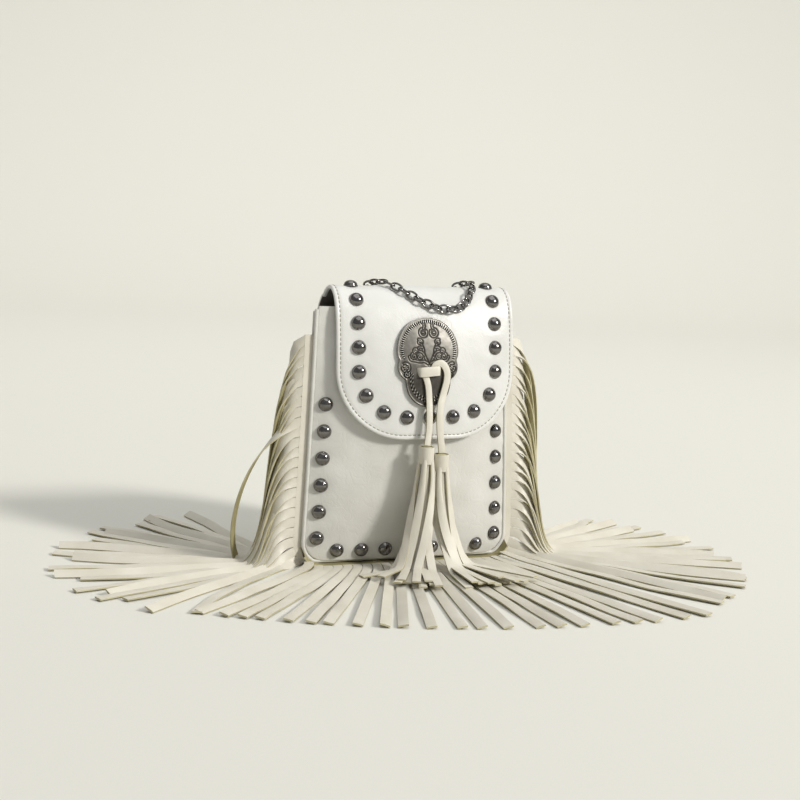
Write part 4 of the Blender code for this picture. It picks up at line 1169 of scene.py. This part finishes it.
def strip_widths(path, stops, used, begin, d, k, sign):
    """Return the width direction along a strip: on edge at the seam, leaning on the floor."""
    base_roll = STRIP_ROLL if k % 3 == 0 else FLAT_ROLL
    widths = []
    for i, p in enumerate(path):
        t = heading(path, i)
        over = max(0.0, stops[i] - used) / (stops[-1] - used)
        roll = base_roll + 12.0 * over * ripple(over * 2.0, k * 4.7, sign, 1.0, 3.0) + wander(k * 5.3, 3.0)
        roll = math.radians(roll)
        final = UP.cross(d) * math.cos(roll) + UP * sign * math.sin(roll)
        w = begin.lerp(final, smoothstep((stops[i] - 1.0) / (14.0 + wander(k * 1.9, 5.0))))
        w = w - t * w.dot(t)
        if widths:
            before = (widths[-1] - t * widths[-1].dot(t)).normalized()
            w = (w * 0.45 + before * 0.55).normalized()
        else:
            w = begin
        if stops[i] > used * 0.5:
            p.z = max(p.z, FLOOR + abs(w.z) * STRIP / 2)
        widths.append(w)
    return widths


def make_side_fringe(name, sign, solid):
    """Build one side fringe: the band in the seam and its strips."""
    mesh = Mesh()
    roots = side_roots(sign)
    fan = side_fan(sign)
    band = roots if sign < 0 else roots[::-1]
    mesh.band([p - d * 1.2 for p, d in band], [p + d * (HEADER + 0.3) for p, d in band], STRIP_THICK)
    for k in range(SIDE_STRIPS):
        (pa, da), (pb, db) = roots[2 * k : 2 * k + 2]
        start = (pa + da * HEADER + pb + db * HEADER) / 2
        begin = (pb - pa).normalized() * -sign
        curve, used, d = side_strip(k, sign, start, (da + db).normalized(), fan[k])
        path, stops = even_points(curve, SIDE_STOPS)
        across = Vector((-d.y, d.x, 0.0))
        for p, s in zip(path, stops):
            over = max(0.0, s - used) / (stops[-1] - used)
            p.z += 0.9 * (1.0 + ripple(over * 3.0, k * 9.0, sign, 1.0, 6.0)) * smoothstep(over * 3.0)
            p += across * (3.5 * ripple(over * 2.2, k * 3.0, sign, 1.0, 2.0) * smoothstep(over * 1.5))
        widths = strip_widths(path, stops, used, begin, d, k, sign)
        cups = [0.35 * ripple(i * 1.0, k * 5.0, sign, 7.0, 2.0) * smoothstep(i / 5) for i in range(SIDE_STOPS + 1)]
        mesh.strip(path, widths, [STRIP] * len(path), STRIP_THICK - 0.1, cups)
    return mesh.finish(name, POUCH, solid, 50.0)


left_strips = make_side_fringe("fringe_left_strips", -1.0, "fringe_left")
right_strips = make_side_fringe("fringe_right_strips", 1.0, "fringe_right")
print("side fringe faces:", len(left_strips.data.polygons) + len(right_strips.data.polygons))

# %% Base fringe
BASE_STOPS = 24


def corner_rise(x):
    """How far the pouch's outline has lifted off the floor at x, in its lower corners."""
    in_corner = min(CORNER, max(0.0, abs(x) - (BASE_HALF - CORNER)))
    return CORNER - math.sqrt(CORNER**2 - in_corner**2)


def make_base_fringe():
    """Build the fringe of the base seam, lying forward on the floor."""
    mesh = Mesh()
    whole = BASE_STRIPS * PITCH - STRIP_GAP
    y = through(EDGE_Y, 0.0) + 2.0
    xs = [-whole / 2 + whole * k / 80 for k in range(81)]
    head = [Vector((x, y, FLOOR + corner_rise(x))) for x in xs]
    foot = [Vector((x, y - HEADER - 3.2, FLOOR + corner_rise(x) * 0.6)) for x in xs]
    mesh.band(foot, head, STRIP_THICK)
    first, last = FAN_BASE
    for k in range(BASE_STRIPS):
        x = -whole / 2 + k * PITCH + STRIP / 2
        u = -1.0 + 2.0 * (k + 0.5) / BASE_STRIPS
        d = floor_dir((first + last) / 2 + (last - first) / 2 * u + wander(k * 1.3, 1.0))
        start = Vector((x, y - HEADER - 3.0, FLOOR + 0.6 * corner_rise(x)))
        reach = REACH_BASE[0] + REACH_BASE[1] * u + wander(k * 2.9, 8.0)
        p1 = start - Vector((0, 16, 0))
        p2 = start - Vector((0, 10, 0)) + d * (reach * 0.42)
        p3 = start - Vector((0, 12, 0)) + d * (reach - 12.0)
        p2.z = p3.z = FLOOR
        path, stops = even_points(bezier(start, p1, p2, p3, 40), BASE_STOPS)
        for i, p in enumerate(path):
            p.z += 0.9 * (1.0 + ripple(i * 0.6, k * 7.0, 1.0, 3.5, 3.0)) * smoothstep((i - 2) / 5)
        widths = []
        for i, p in enumerate(path):
            t = heading(path, i)
            tilt = 11.0 * (1.0 if u > -0.2 else -1.0) + 10.0 * ripple(i * 0.4, k * 11.0, 2.0, 4.0, 5.0)
            turn = Matrix.Rotation(math.radians(tilt) * smoothstep(i / 5), 3, t)
            widths.append(turn @ UP.cross(t).normalized())
            p.z = max(p.z, FLOOR + abs(widths[-1].z) * STRIP / 2)
        cups = [0.3 * ripple(i * 1.0, k * 6.0, 4.0, 7.0, 2.0) * smoothstep(i / 5) for i in range(BASE_STOPS + 1)]
        mesh.strip(path, widths, [STRIP] * len(path), STRIP_THICK - 0.1, cups)
    return mesh.finish("fringe_base_strips", POUCH, "fringe_bottom", 50.0)


base_strips = make_base_fringe()
print("base fringe faces:", len(base_strips.data.polygons))

# %% [markdown]
# The plate is cast with a rope border and scrollwork, then oxidised. Its relief is a height worked out
# for every point: the distance to each scroll line raises a rounded ridge, and the same height goes to
# the shader as wear, lowered toward the plate's bottom as painted shade. The scrolls are traditional ones.

# %% Plate relief
PLATE_X = -2.2
PLATE_Z = 143.0
PLATE_GAP = 0.45
PLATE_THICK = 2.2
PLATE_RIM = 0.9
PLATE_AROUND = 420
PLATE_RINGS = 96
UNDER_RING = 40
PLATE_OUTLINE = [(0.0, 20.7), (7.6, 19.4), (14.4, 15.6), (19.2, 9.0), (21.2, 1.6), (20.9, -3.6)]
PLATE_OUTLINE += [(19.9, -6.3), (20.6, -9.6), (20.2, -13.8), (18.0, -17.2), (15.6, -19.4)]
PLATE_OUTLINE += [(15.0, -23.4), (13.2, -28.8), (9.0, -33.6), (4.0, -36.0), (0.0, -36.7)]


def spiral(cx, cz, r0, r1, start, turns, count=26):
    """Return points of a scroll that winds from radius r0 to r1, from a start angle in degrees."""
    pts = []
    for k in range(count + 1):
        f = k / count
        a = math.radians(start) + turns * 2 * math.pi * f
        r = r0 + (r1 - r0) * f
        pts.append((cx + r * math.cos(a), cz + r * math.sin(a)))
    return pts


def scroll_lines():
    """Return the plate's scrollwork as (points, half width, height), one side and its mirror."""
    lines = [
        (spiral(3.6, 10.6, 2.5, 2.3, 100, -0.86), 0.34, 0.5),
        ([(2.9, 16.4), (2.7, 14.6), (3.3, 13.2)], 0.3, 0.45),
        ([(3.3, 10.9), (4.4, 10.9)], 0.36, 0.45),
        (spiral(6.2, 4.8, 1.7, 0.5, 60, 1.2), 0.3, 0.5),
        ([(1.2, -8.2), (2.6, -5.2), (3.8, -2.4), (4.2, 0.6), (5.4, 3.2)], 0.36, 0.5),
        ([(3.4, -3.4), (5.2, -1.6), (7.2, -1.4), (8.4, -3.0), (7.6, -4.8)], 0.32, 0.5),
        (spiral(6.6, -4.4, 1.9, 0.4, 40, 1.3), 0.3, 0.5),
        (spiral(10.4, -4.2, 2.2, 0.5, 120, -1.3), 0.3, 0.5),
        (spiral(9.2, -0.6, 1.5, 0.4, -60, 1.1), 0.28, 0.45),
        ([(1.0, -8.8), (3.4, -7.4), (6.4, -7.6), (9.6, -7.0), (12.4, -6.4), (13.4, -4.4)], 0.34, 0.5),
        ([(4.6, 1.4), (6.2, 1.6), (7.4, 0.8)], 0.28, 0.45),
        (spiral(16.0, -11.4, 2.9, 2.0, 70, 0.8), 0.36, 0.5),
        (spiral(15.0, -15.6, 1.6, 0.5, 140, 1.2), 0.3, 0.45),
    ]
    out = []
    for pts, wide, high in lines:
        smooth = smooth_line(pts, 4)
        out.append(([(x, z) for x, z in smooth], wide, high))
        out.append(([(-x, z) for x, z in smooth], wide, high))
    return out


def relief(xs, zs, edge):
    """Return the height of the plate's relief at each point, in millimetres."""
    high = np.zeros_like(xs)
    for pts, wide, lift in scroll_lines():
        near = np.full_like(xs, 99.0)
        for (ax, az), (bx, bz) in zip(pts, pts[1:]):
            dx, dz = bx - ax, bz - az
            size = max(1e-9, dx * dx + dz * dz)
            t = np.clip(((xs - ax) * dx + (zs - az) * dz) / size, 0, 1)
            near = np.minimum(near, np.hypot(xs - ax - t * dx, zs - az - t * dz))
        ridge = lift * np.clip(1.0 - (near / wide) ** 2, 0, 1) ** 0.6
        ditch = -0.30 * np.exp(-(((near - wide - 0.45) / 0.42) ** 2))
        high = np.where(ridge > 0.02, np.maximum(high, ridge), np.minimum(high, ditch))
    rim = 0.35 * np.exp(-(((edge - 0.4) / 0.45) ** 2))
    walk = 20.0 * np.arctan2(zs + 1.0, xs) * 2 * math.pi
    dash = np.clip(1.6 * np.sin(walk / 1.496 + edge * 0.5), -1, 1)
    band = np.exp(-(((edge - 3.1) / 1.05) ** 4)) * np.where(zs > -6.0, 1.0, 0.0)
    high = high * (1 - band) + band * (0.38 * dash - 0.10)
    bead = np.exp(-(((edge - 3.6) / 0.5) ** 2)) + np.exp(-(((edge - 5.6) / 0.5) ** 2))
    high += bead * np.where(zs < -9.0, 1.0, 0.0) * 0.42 * np.sin(walk / 1.4)
    return high + rim


def on_plate(x, z, off):
    """Return a point before the flap, from the plate's own middle."""
    return flap_point(PLATE_X + float(x), flap_at_height(PLATE_Z + float(z)), float(off))[0]


def make_plate():
    """Build the cast plate with its relief, laid over the curve of the flap."""
    outline = PLATE_OUTLINE + [(-x, z) for x, z in reversed(PLATE_OUTLINE[1:-1])]
    closed = smooth_line(outline + outline[:3], 16)
    closed = closed[16 : 16 * (len(outline) + 1)]
    ring = even_points(closed + [closed[0]], PLATE_AROUND)[0][:-1]
    rings = [0.02] + [0.02 + 0.98 * (k / PLATE_RINGS) ** 0.86 for k in range(1, PLATE_RINGS + 1)]
    fx = np.array([[p.x * r for p in ring] for r in rings])
    fz = np.array([[-6.0 + (p.y + 6.0) * r for p in ring] for r in rings])
    edge = np.array([[math.hypot(p.x, p.y + 6.0) * (1.0 - r) for p in ring] for r in rings])
    high = relief(fx, fz, edge)
    swell = 0.9 * (1.0 - np.clip(np.hypot(fx / 21.0, (fz + 2.0) / 26.0), 0, 1) ** 2)
    fall = np.sqrt(np.clip(1.0 - (1.0 - np.clip(edge / 0.7, 0, 1)) ** 2, 0, 1))
    top = PLATE_GAP + PLATE_RIM + (PLATE_THICK - PLATE_RIM + high + swell) * fall
    # Painted shade: the wear value is lowered toward the plate's bottom, so its lower part is painted darker.
    shade = 0.16 * np.vectorize(smoothstep)((-10.0 - fz) / 12.0)
    wear_and_painted_shade_values = list((0.42 + 0.8 * high * fall - shade).ravel()) + [0.1] * (2 * PLATE_AROUND)
    verts = [on_plate(*spot) for spot in zip(fx.ravel(), fz.ravel(), top.ravel())]
    verts += [on_plate(x * 0.985, z, PLATE_GAP) for x, z in zip(fx[-1], fz[-1])]
    verts += [on_plate(x, z, PLATE_GAP) for x, z in zip(fx[UNDER_RING], fz[UNDER_RING])]
    faces = band_faces(len(rings) + 2, PLATE_AROUND)
    faces.append(tuple(range(len(verts) - PLATE_AROUND, len(verts))))
    faces.append(tuple(reversed(range(PLATE_AROUND))))
    obj = piece("cast_plate", verts, faces, [silver], FLAP, ["concho"], 180.0)
    wear_and_painted_shade = obj.data.attributes.new("wear_and_painted_shade", "FLOAT", "POINT")
    wear_and_painted_shade.data.foreach_set("value", [max(0.0, min(1.0, w)) for w in wear_and_painted_shade_values])
    weld(obj, 0)
    return obj


plate = make_plate()
print("plate faces:", len(plate.data.polygons))

# %% [markdown]
# A flat lace is tied through the plate: a short crosspiece over the middle, one tail that drops
# straight down and one that loops over to the right. Each tail holds a tassel.

# %% Lace
TASSEL_Y = -47.5
TASSELS = {"left": (1.8, 82.0), "right": (12.2, 77.0)}
WRAP_R = 4.9
WRAP_H = 11.0
PLATE_FACE = PLATE_GAP + PLATE_THICK
# Each place is across from the plate's middle, height, and distance before the plate's face.
LACE_LEFT = [(-3.5, 127.5, 0.6), (-2.2, 124.5, 1.2), (-1.0, 119.5, 1.4), (-0.4, 112.0, 1.3)]
LACE_LEFT += [(-0.6, 102.0, 2.75), (-1.2, 92.0, 3.55)]
LACE_RIGHT = [(2.6, 130.5, 0.8), (4.4, 133.6, 1.6), (8.2, 134.4, 2.0), (11.4, 130.4, 2.0)]
LACE_RIGHT += [(11.8, 124.0, 1.8), (9.4, 115.0, 1.6), (6.9, 107.0, 2.65), (6.2, 94.0, 3.55)]
LACE_CROSS = [(-7.2, 128.8, -0.6), (-6.6, 128.8, 1.6), (-5.0, 128.8, 2.6), (0.0, 129.2, 2.9)]
LACE_CROSS += [(4.8, 129.6, 2.8), (6.4, 129.8, 1.7), (7.0, 129.8, -0.4)]


def on_flap(x, z, off):
    """Return a point before the flap at height z, also below its hem, x from the pouch's middle."""
    low = FLAP_PROFILE[-1][1] + 0.5
    p = flap_point(x - FLAP_SHIFT, flap_at_height(max(z, low)), off)[0]
    return p + UP * min(0.0, z - low)


def make_lace():
    """Build the crosspiece and both tails of the lace."""
    mesh = Mesh()
    mid = FLAP_SHIFT + PLATE_X
    for places, end, wide, thick in (
        (LACE_LEFT, "left", 4.0, 1.6),
        (LACE_RIGHT, "right", 4.4, 1.6),
        (LACE_CROSS, None, 6.2, 1.4),
    ):
        spots = [(mid + x, z, PLATE_FACE + off) for x, z, off in places]
        if end:
            x, z = TASSELS[end]
            spots.append((x, z + 0.2, 7.5))
        line = smooth_line([on_flap(*spot) for spot in spots], 8)
        out = Vector((0.0, -1.0, 0.08))
        widths = [out.cross(heading(line, i)).normalized() for i in range(len(line))]
        mesh.strip(line, widths, [wide] * len(line), thick, [0.25] * len(line))
    return mesh.finish("lace_knot", FLAP, "concho_lace", 60.0)


lace = make_lace()
print("lace faces:", len(lace.data.polygons))

# %% [markdown]
# A tassel is a comb of strips rolled up and held by a wrap. The strips leave the wrap as a tight bunch,
# spread as they fall, and bend where they meet the fringe below.

# %% Tassels
STRANDS = 10
STRAND_STOPS = 30
STRAND_THICK = 1.1
WRAP_STOPS = 72
WRAP_SIDES = 20
# Each plan is where a strand meets the fringe and where its tip lies, from left to right.
TASSEL_PLANS = {
    "left": [
        ((-24.0, -58.0), (-46.0, -64.0)),
        ((-17.0, -66.0), (-31.0, -88.0)),
        ((-14.0, -61.0), (-25.0, -84.0)),
        ((-8.5, -71.0), (-20.0, -99.0)),
        ((-4.0, -66.0), (-11.0, -93.0)),
        ((-1.0, -73.0), (-9.0, -103.0)),
    ],
    "right": [
        ((14.0, -72.0), (11.0, -104.0)),
        ((18.0, -65.0), (20.0, -100.0)),
        ((21.0, -70.0), (29.0, -106.0)),
        ((25.0, -61.0), (38.0, -94.0)),
        ((27.0, -66.0), (44.0, -106.0)),
        ((32.0, -60.0), (60.0, -96.0)),
    ],
}


def make_tassel(side):
    """Build one tassel's strips."""
    x0, z0 = TASSELS[side]
    fan = [tuple(Vector((x, y, 0.0)) for x, y in plan) for plan in TASSEL_PLANS[side]]
    mesh = Mesh()
    for k in range(STRANDS):
        f = k / (STRANDS - 1) * (len(fan) - 1)
        i0 = min(int(f), len(fan) - 2)
        rest, tip = (a.lerp(b, f - i0) for a, b in zip(fan[i0], fan[i0 + 1]))
        a = -math.pi / 2 + (k - (STRANDS - 1) / 2) * 0.62 + 0.3
        out = Vector((math.cos(a), math.sin(a), 0.0)) * (2.0 + 2.0 * (k % 2))
        start = Vector((x0, TASSEL_Y, z0 - WRAP_H + 3.0)) + out
        rest.z = 3.4 + 2.2 * (k % 2) + 0.6 * (k % 3)
        tip.z = rest.z - 0.4
        d = (tip - rest).normalized()
        p1 = start - UP * 34.0 + out * 1.2
        p2 = rest - d * 7.0 + UP * 1.5
        curve = bezier(start, p1, p2, rest, 40)
        curve += [rest.lerp(tip, t / 10) for t in range(1, 11)]
        path, stops = even_points(curve, STRAND_STOPS)
        begin = Vector((-math.sin(a), math.cos(a), 0.0))
        if begin.cross(UP).dot(out) < 0:
            begin = -begin
        widths = []
        for i in range(STRAND_STOPS + 1):
            t = heading(path, i)
            w = begin.lerp(UP.cross(d), smoothstep(i / (STRAND_STOPS * 0.62)))
            widths.append((w - t * w.dot(t)).normalized())
        parts = [i / STRAND_STOPS for i in range(STRAND_STOPS + 1)]
        wides = [STRIP * (0.55 + 0.30 * smoothstep(part / 0.4)) for part in parts]
        cups = [0.9 * (1.0 - smoothstep(part / 0.5)) for part in parts]
        mesh.strip(path, widths, wides, STRAND_THICK, cups)
    return mesh.finish(f"tassel_{side}_strips", FLAP, f"tassel_{side}", 60.0)


def make_wrap(side):
    """Build one wrap: a strip rolled tight, its end lapped, with a gathered top."""
    x0, z0 = TASSELS[side]
    mesh = Mesh()
    path = []
    for i in range(WRAP_STOPS + 1):
        a = 2 * math.pi * 2.06 * i / WRAP_STOPS - 1.2
        r = WRAP_R - 1.05 + 0.9 * i / WRAP_STOPS
        path.append(Vector((x0 + r * math.cos(a), TASSEL_Y + r * math.sin(a), z0 - WRAP_H / 2)))
    mesh.strip(path, [UP] * len(path), [WRAP_H] * len(path), 0.85)
    rings = [(WRAP_R - 0.9, -1.0), (WRAP_R - 1.5, -0.3), (1.6, 0.2), (0.05, 0.2)]
    faces = band_faces(len(rings), WRAP_SIDES, len(mesh.verts))
    mesh.verts += [Vector((x0 + r * c, TASSEL_Y + r * s, z0 + h)) for r, h in rings for c, s in circle(WRAP_SIDES)]
    for quad in faces:
        mesh.face(2, *quad)
    return mesh.finish(f"tassel_{side}_wrap", FLAP, f"tassel_wrap_{side}", 50.0, None)


for side in TASSELS:
    make_tassel(side)
    make_wrap(side)
print("tassels made")

# %% [markdown]
# The strap is a curb chain: oval links of round wire, each turned so that it lies in its neighbour.
# One link is modelled and the node tree copies it along the strap's path, leaning left and right by
# turns. The part that crosses the fold lies along a bent line between the pouch and the flap, joined to neither.

# %% Chain
LINK_LENGTH = 9.4
LINK_WIDTH = 6.4
WIRE = 1.5
LINK_PITCH = 6.0
LINK_LEAN = math.radians(27.0)
CHAIN_OFF = 2.6
CHAIN_LEFT_X = 30.3 - FLAP_HALF
CHAIN_RIGHT_X = FLAP_HALF - 32.8
CHAIN_LOW_Z = 168.5
CHAIN_PART = 12.0
RING_INSET = 8.5
RING_Z = 150.0


def link_mesh():
    """Return one oval link lying along X, its wire round."""
    a = (LINK_LENGTH - WIRE) / 2
    b = (LINK_WIDTH - WIRE) / 2
    verts = []
    for c, s in circle(28):
        t = Vector((-a * s, b * c, 0.0)).normalized()
        side = Vector((t.y, -t.x, 0.0))
        middle = Vector((a * c, b * s, 0.0))
        verts += [middle + (side * c2 + UP * s2) * (WIRE / 2) for c2, s2 in circle(8)]
    return verts, band_faces(28, 8, wrap=True, turned=True)


def drape(left, right, low_z):
    """Return dense (point, outward) samples of the strap draped over the flap, hinge to hinge."""
    low = flap_at_height(low_z)
    mid = (left + right) / 2 + 3.0
    plan = [(left - 1.5, 0.0), (left, 9.0), (left + 5.5, 17.0), (left + 17.0, low - 12.0)]
    plan += [(mid - 3.0, low - 3.5), (mid + 9.0, low), (mid + 21.0, low - 1.5), (right + 0.5, low - 9.0)]
    plan += [(right + 6.5, 20.0), (right + 4.5, 12.0), (right + 1.0, 6.0), (right, 0.0)]
    return [flap_point(p.x, p.y, CHAIN_OFF) for p in smooth_line(plan, 10)]


def link_places(samples, start=0.0, end=None, first=0):
    """Return link places along samples between two running lengths."""
    pts = [p for p, out in samples]
    total = line_lengths(pts)
    end = total[-1] if end is None else end
    count = max(1, round((end - start) / LINK_PITCH))
    places = []
    for k in range(count):
        s = start + (end - start) * (k + 0.5) / count
        t = (at_length(pts, total, s + 2.0) - at_length(pts, total, s - 2.0)).normalized()
        near = min(range(len(total)), key=lambda i: abs(total[i] - s))
        tilt = Matrix.Rotation(LINK_LEAN if (k + first) % 2 else -LINK_LEAN, 3, t)
        places.append((at_length(pts, total, s), turn_to(tilt @ samples[near][1], t)))
    return places


def behind(x, ring, sign):
    """Return the strap's path down the back of the bag and up to its tab."""
    plan = [(x + sign, 2.4, 145.0, 145.0), (x + sign * 3.0, 2.2, 105.0, 105.0), (x + sign * 8.0, 2.2, 60.0, 60.0)]
    plan += [((x + ring) / 2 + sign * 3.0, 2.2, 38.0, 38.0), (ring - sign * 3.0, 1.9, 60.0, 60.0)]
    plan += [(ring, 1.8, 105.0, 105.0), (ring, 2.2, 138.0, RING_Z - 12.0), (ring, 2.4, 145.0, RING_Z - 5.0)]
    path = [Vector((x, 17.0, HINGE_Z - 5.3)), Vector((x + sign * 0.5, 22.6, HINGE_Z - 14.5))]
    return path + [Vector((px, through(BACK_Y, at) + off, z)) for px, off, at, z in plan]


def make_chain():
    """Build the chain in parts, on the flap, over the fold and behind, and return those over the fold."""
    link = link_mesh()
    samples = drape(CHAIN_LEFT_X, CHAIN_RIGHT_X, CHAIN_LOW_Z)
    whole = line_lengths([p for p, out in samples])[-1]
    front = link_places(samples, CHAIN_PART, whole - CHAIN_PART)
    scatter("chain_on_flap", front, link, gunmetal, FLAP, ["chain_front"])
    ring = half_width(RING_Z) - RING_INSET
    over_fold = []
    for side, local, sign, ring_x in (
        ("left", CHAIN_LEFT_X - 1.5, -1.0, lean(RING_Z) - ring),
        ("right", CHAIN_RIGHT_X, 1.0, ring),
    ):
        x = local + FLAP_SHIFT
        pts = [p for p, out in (samples if side == "left" else reversed(samples))]
        lengths = line_lengths(pts)
        over = [at_length(pts, lengths, s) for s in (CHAIN_PART, 8.0, 4.0)]
        over += [Vector((x, y, HINGE_Z + up)) for y, up in ((8.6, 2.1), (13.2, -1.1), (17.0, -5.1))]
        line = smooth_line(over, 8)
        turns = [heading(line, i) for i in range(len(line))]
        spots = link_places([(p, Vector((0.0, -t.z, t.y)).normalized()) for p, t in zip(line, turns)], first=1)
        name = f"chain_over_fold_{side}"
        over_fold.append(scatter(name, spots, link, gunmetal, None, [f"chain_over_{side}"]))
        out = Vector((0.0, 1.0, 0.15)).normalized()
        spots = link_places([(p, out) for p in smooth_line(behind(x, ring_x, sign), 12)])
        scatter(f"chain_behind_{side}", spots, link, gunmetal, POUCH, [f"chain_back_{side}"])
    return over_fold


chain_hosts = make_chain()

# %% [markdown]
# The solids that stay are the magnetic snap and the leather tabs behind the bag. They keep their own
# meshes and only take a finish.

# %% Finishes of the solids that stay
for node, mat in (
    ("snap_female", gunmetal),
    ("snap_male", gunmetal),
    ("ring_tab_left", pouch_leather),
    ("ring_tab_right", pouch_leather),
):
    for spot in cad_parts[node].material_slots:
        spot.material = mat
print("finishes set")

# %% [markdown]
# The floor is a pale studio sweep: flat under the bag and curving up far behind it, so no horizon
# shows. A soft key lamp to the right gives the long shadow to the left; panels and the sky fill.

# %% Floor and light
SWEEP_BACK = 2.0
SWEEP_R = 1.2
SWEEP_HALF = 6.0


def make_floor():
    """Build the sweep of pale paper."""
    mat = bpy.data.materials.new("pale_studio_paper")
    mat.use_nodes = True
    shader = mat.node_tree.nodes["Principled BSDF"]
    shader.inputs["Base Color"].default_value = linear("#e6e5dd")
    shader.inputs["Roughness"].default_value = 0.9
    shader.inputs["Specular IOR Level"].default_value = 0.05
    profile = [(-3.0, 0.0), (SWEEP_BACK, 0.0)]
    for k in range(1, 13):
        w = math.pi / 2 * k / 12
        profile.append((SWEEP_BACK + SWEEP_R * math.sin(w), SWEEP_R * (1.0 - math.cos(w))))
    profile.append((SWEEP_BACK + SWEEP_R, 5.0))
    turn = Matrix.Rotation(CAMERA_AZIMUTH, 3, "Z")
    verts = [(turn @ Vector((x, y, z))) / MM for y, z in profile for x in (-SWEEP_HALF, SWEEP_HALF)]
    faces = [(2 * k, 2 * k + 1, 2 * k + 3, 2 * k + 2) for k in range(len(profile) - 1)]
    mesh = mesh_data("studio_floor", verts, faces)
    mesh.materials.append(mat)
    place_object("studio_floor", mesh)


def add_panel(name, place, aim, size, power):
    """Add one soft panel lamp that shines from a place toward a point."""
    panel = bpy.data.lights.new(name, "AREA")
    panel.size = size
    panel.energy = power
    lamp = place_object(name, panel)
    lamp.location = place
    lamp.rotation_euler = (place - aim).to_track_quat("Z", "Y").to_euler()


def make_light():
    """Add the key lamp, the soft panels and the fill of the sky."""
    world = bpy.data.worlds.new("studio")
    bpy.context.scene.world = world
    world.use_nodes = True
    sky = world.node_tree.nodes["Background"]
    sky.inputs["Color"].default_value = linear("#f4f5f6")
    sky.inputs["Strength"].default_value = 0.27
    sun = bpy.data.lights.new("key", "SUN")
    sun.energy = 2.1
    sun.angle = math.radians(9.0)
    sun.color = linear("#fffcf6")[:3]
    key = place_object("key", sun)
    key.rotation_euler = Vector((0.62, -0.70, 0.52)).to_track_quat("Z", "Y").to_euler()
    bag = Vector((0.0, 0.0, 0.1))
    add_panel("top", Vector((0.2, -0.5, 2.3)), bag, 2.2, 18.0)
    add_panel("box", Vector((1.1, -1.3, 1.15)), bag, 0.7, 6.0)
    turn = Matrix.Rotation(CAMERA_AZIMUTH, 3, "Z")
    add_panel("paper", turn @ Vector((0.0, 0.9, 2.4)), turn @ Vector((0.0, 3.2, 1.0)), 1.8, 16.0)


make_floor()
make_light()
bpy.context.scene.view_settings.view_transform = "Standard"
print("floor and light made")

# %% Bake the placing of the strap over the fold into its mesh
for host in chain_hosts:
    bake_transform(host)
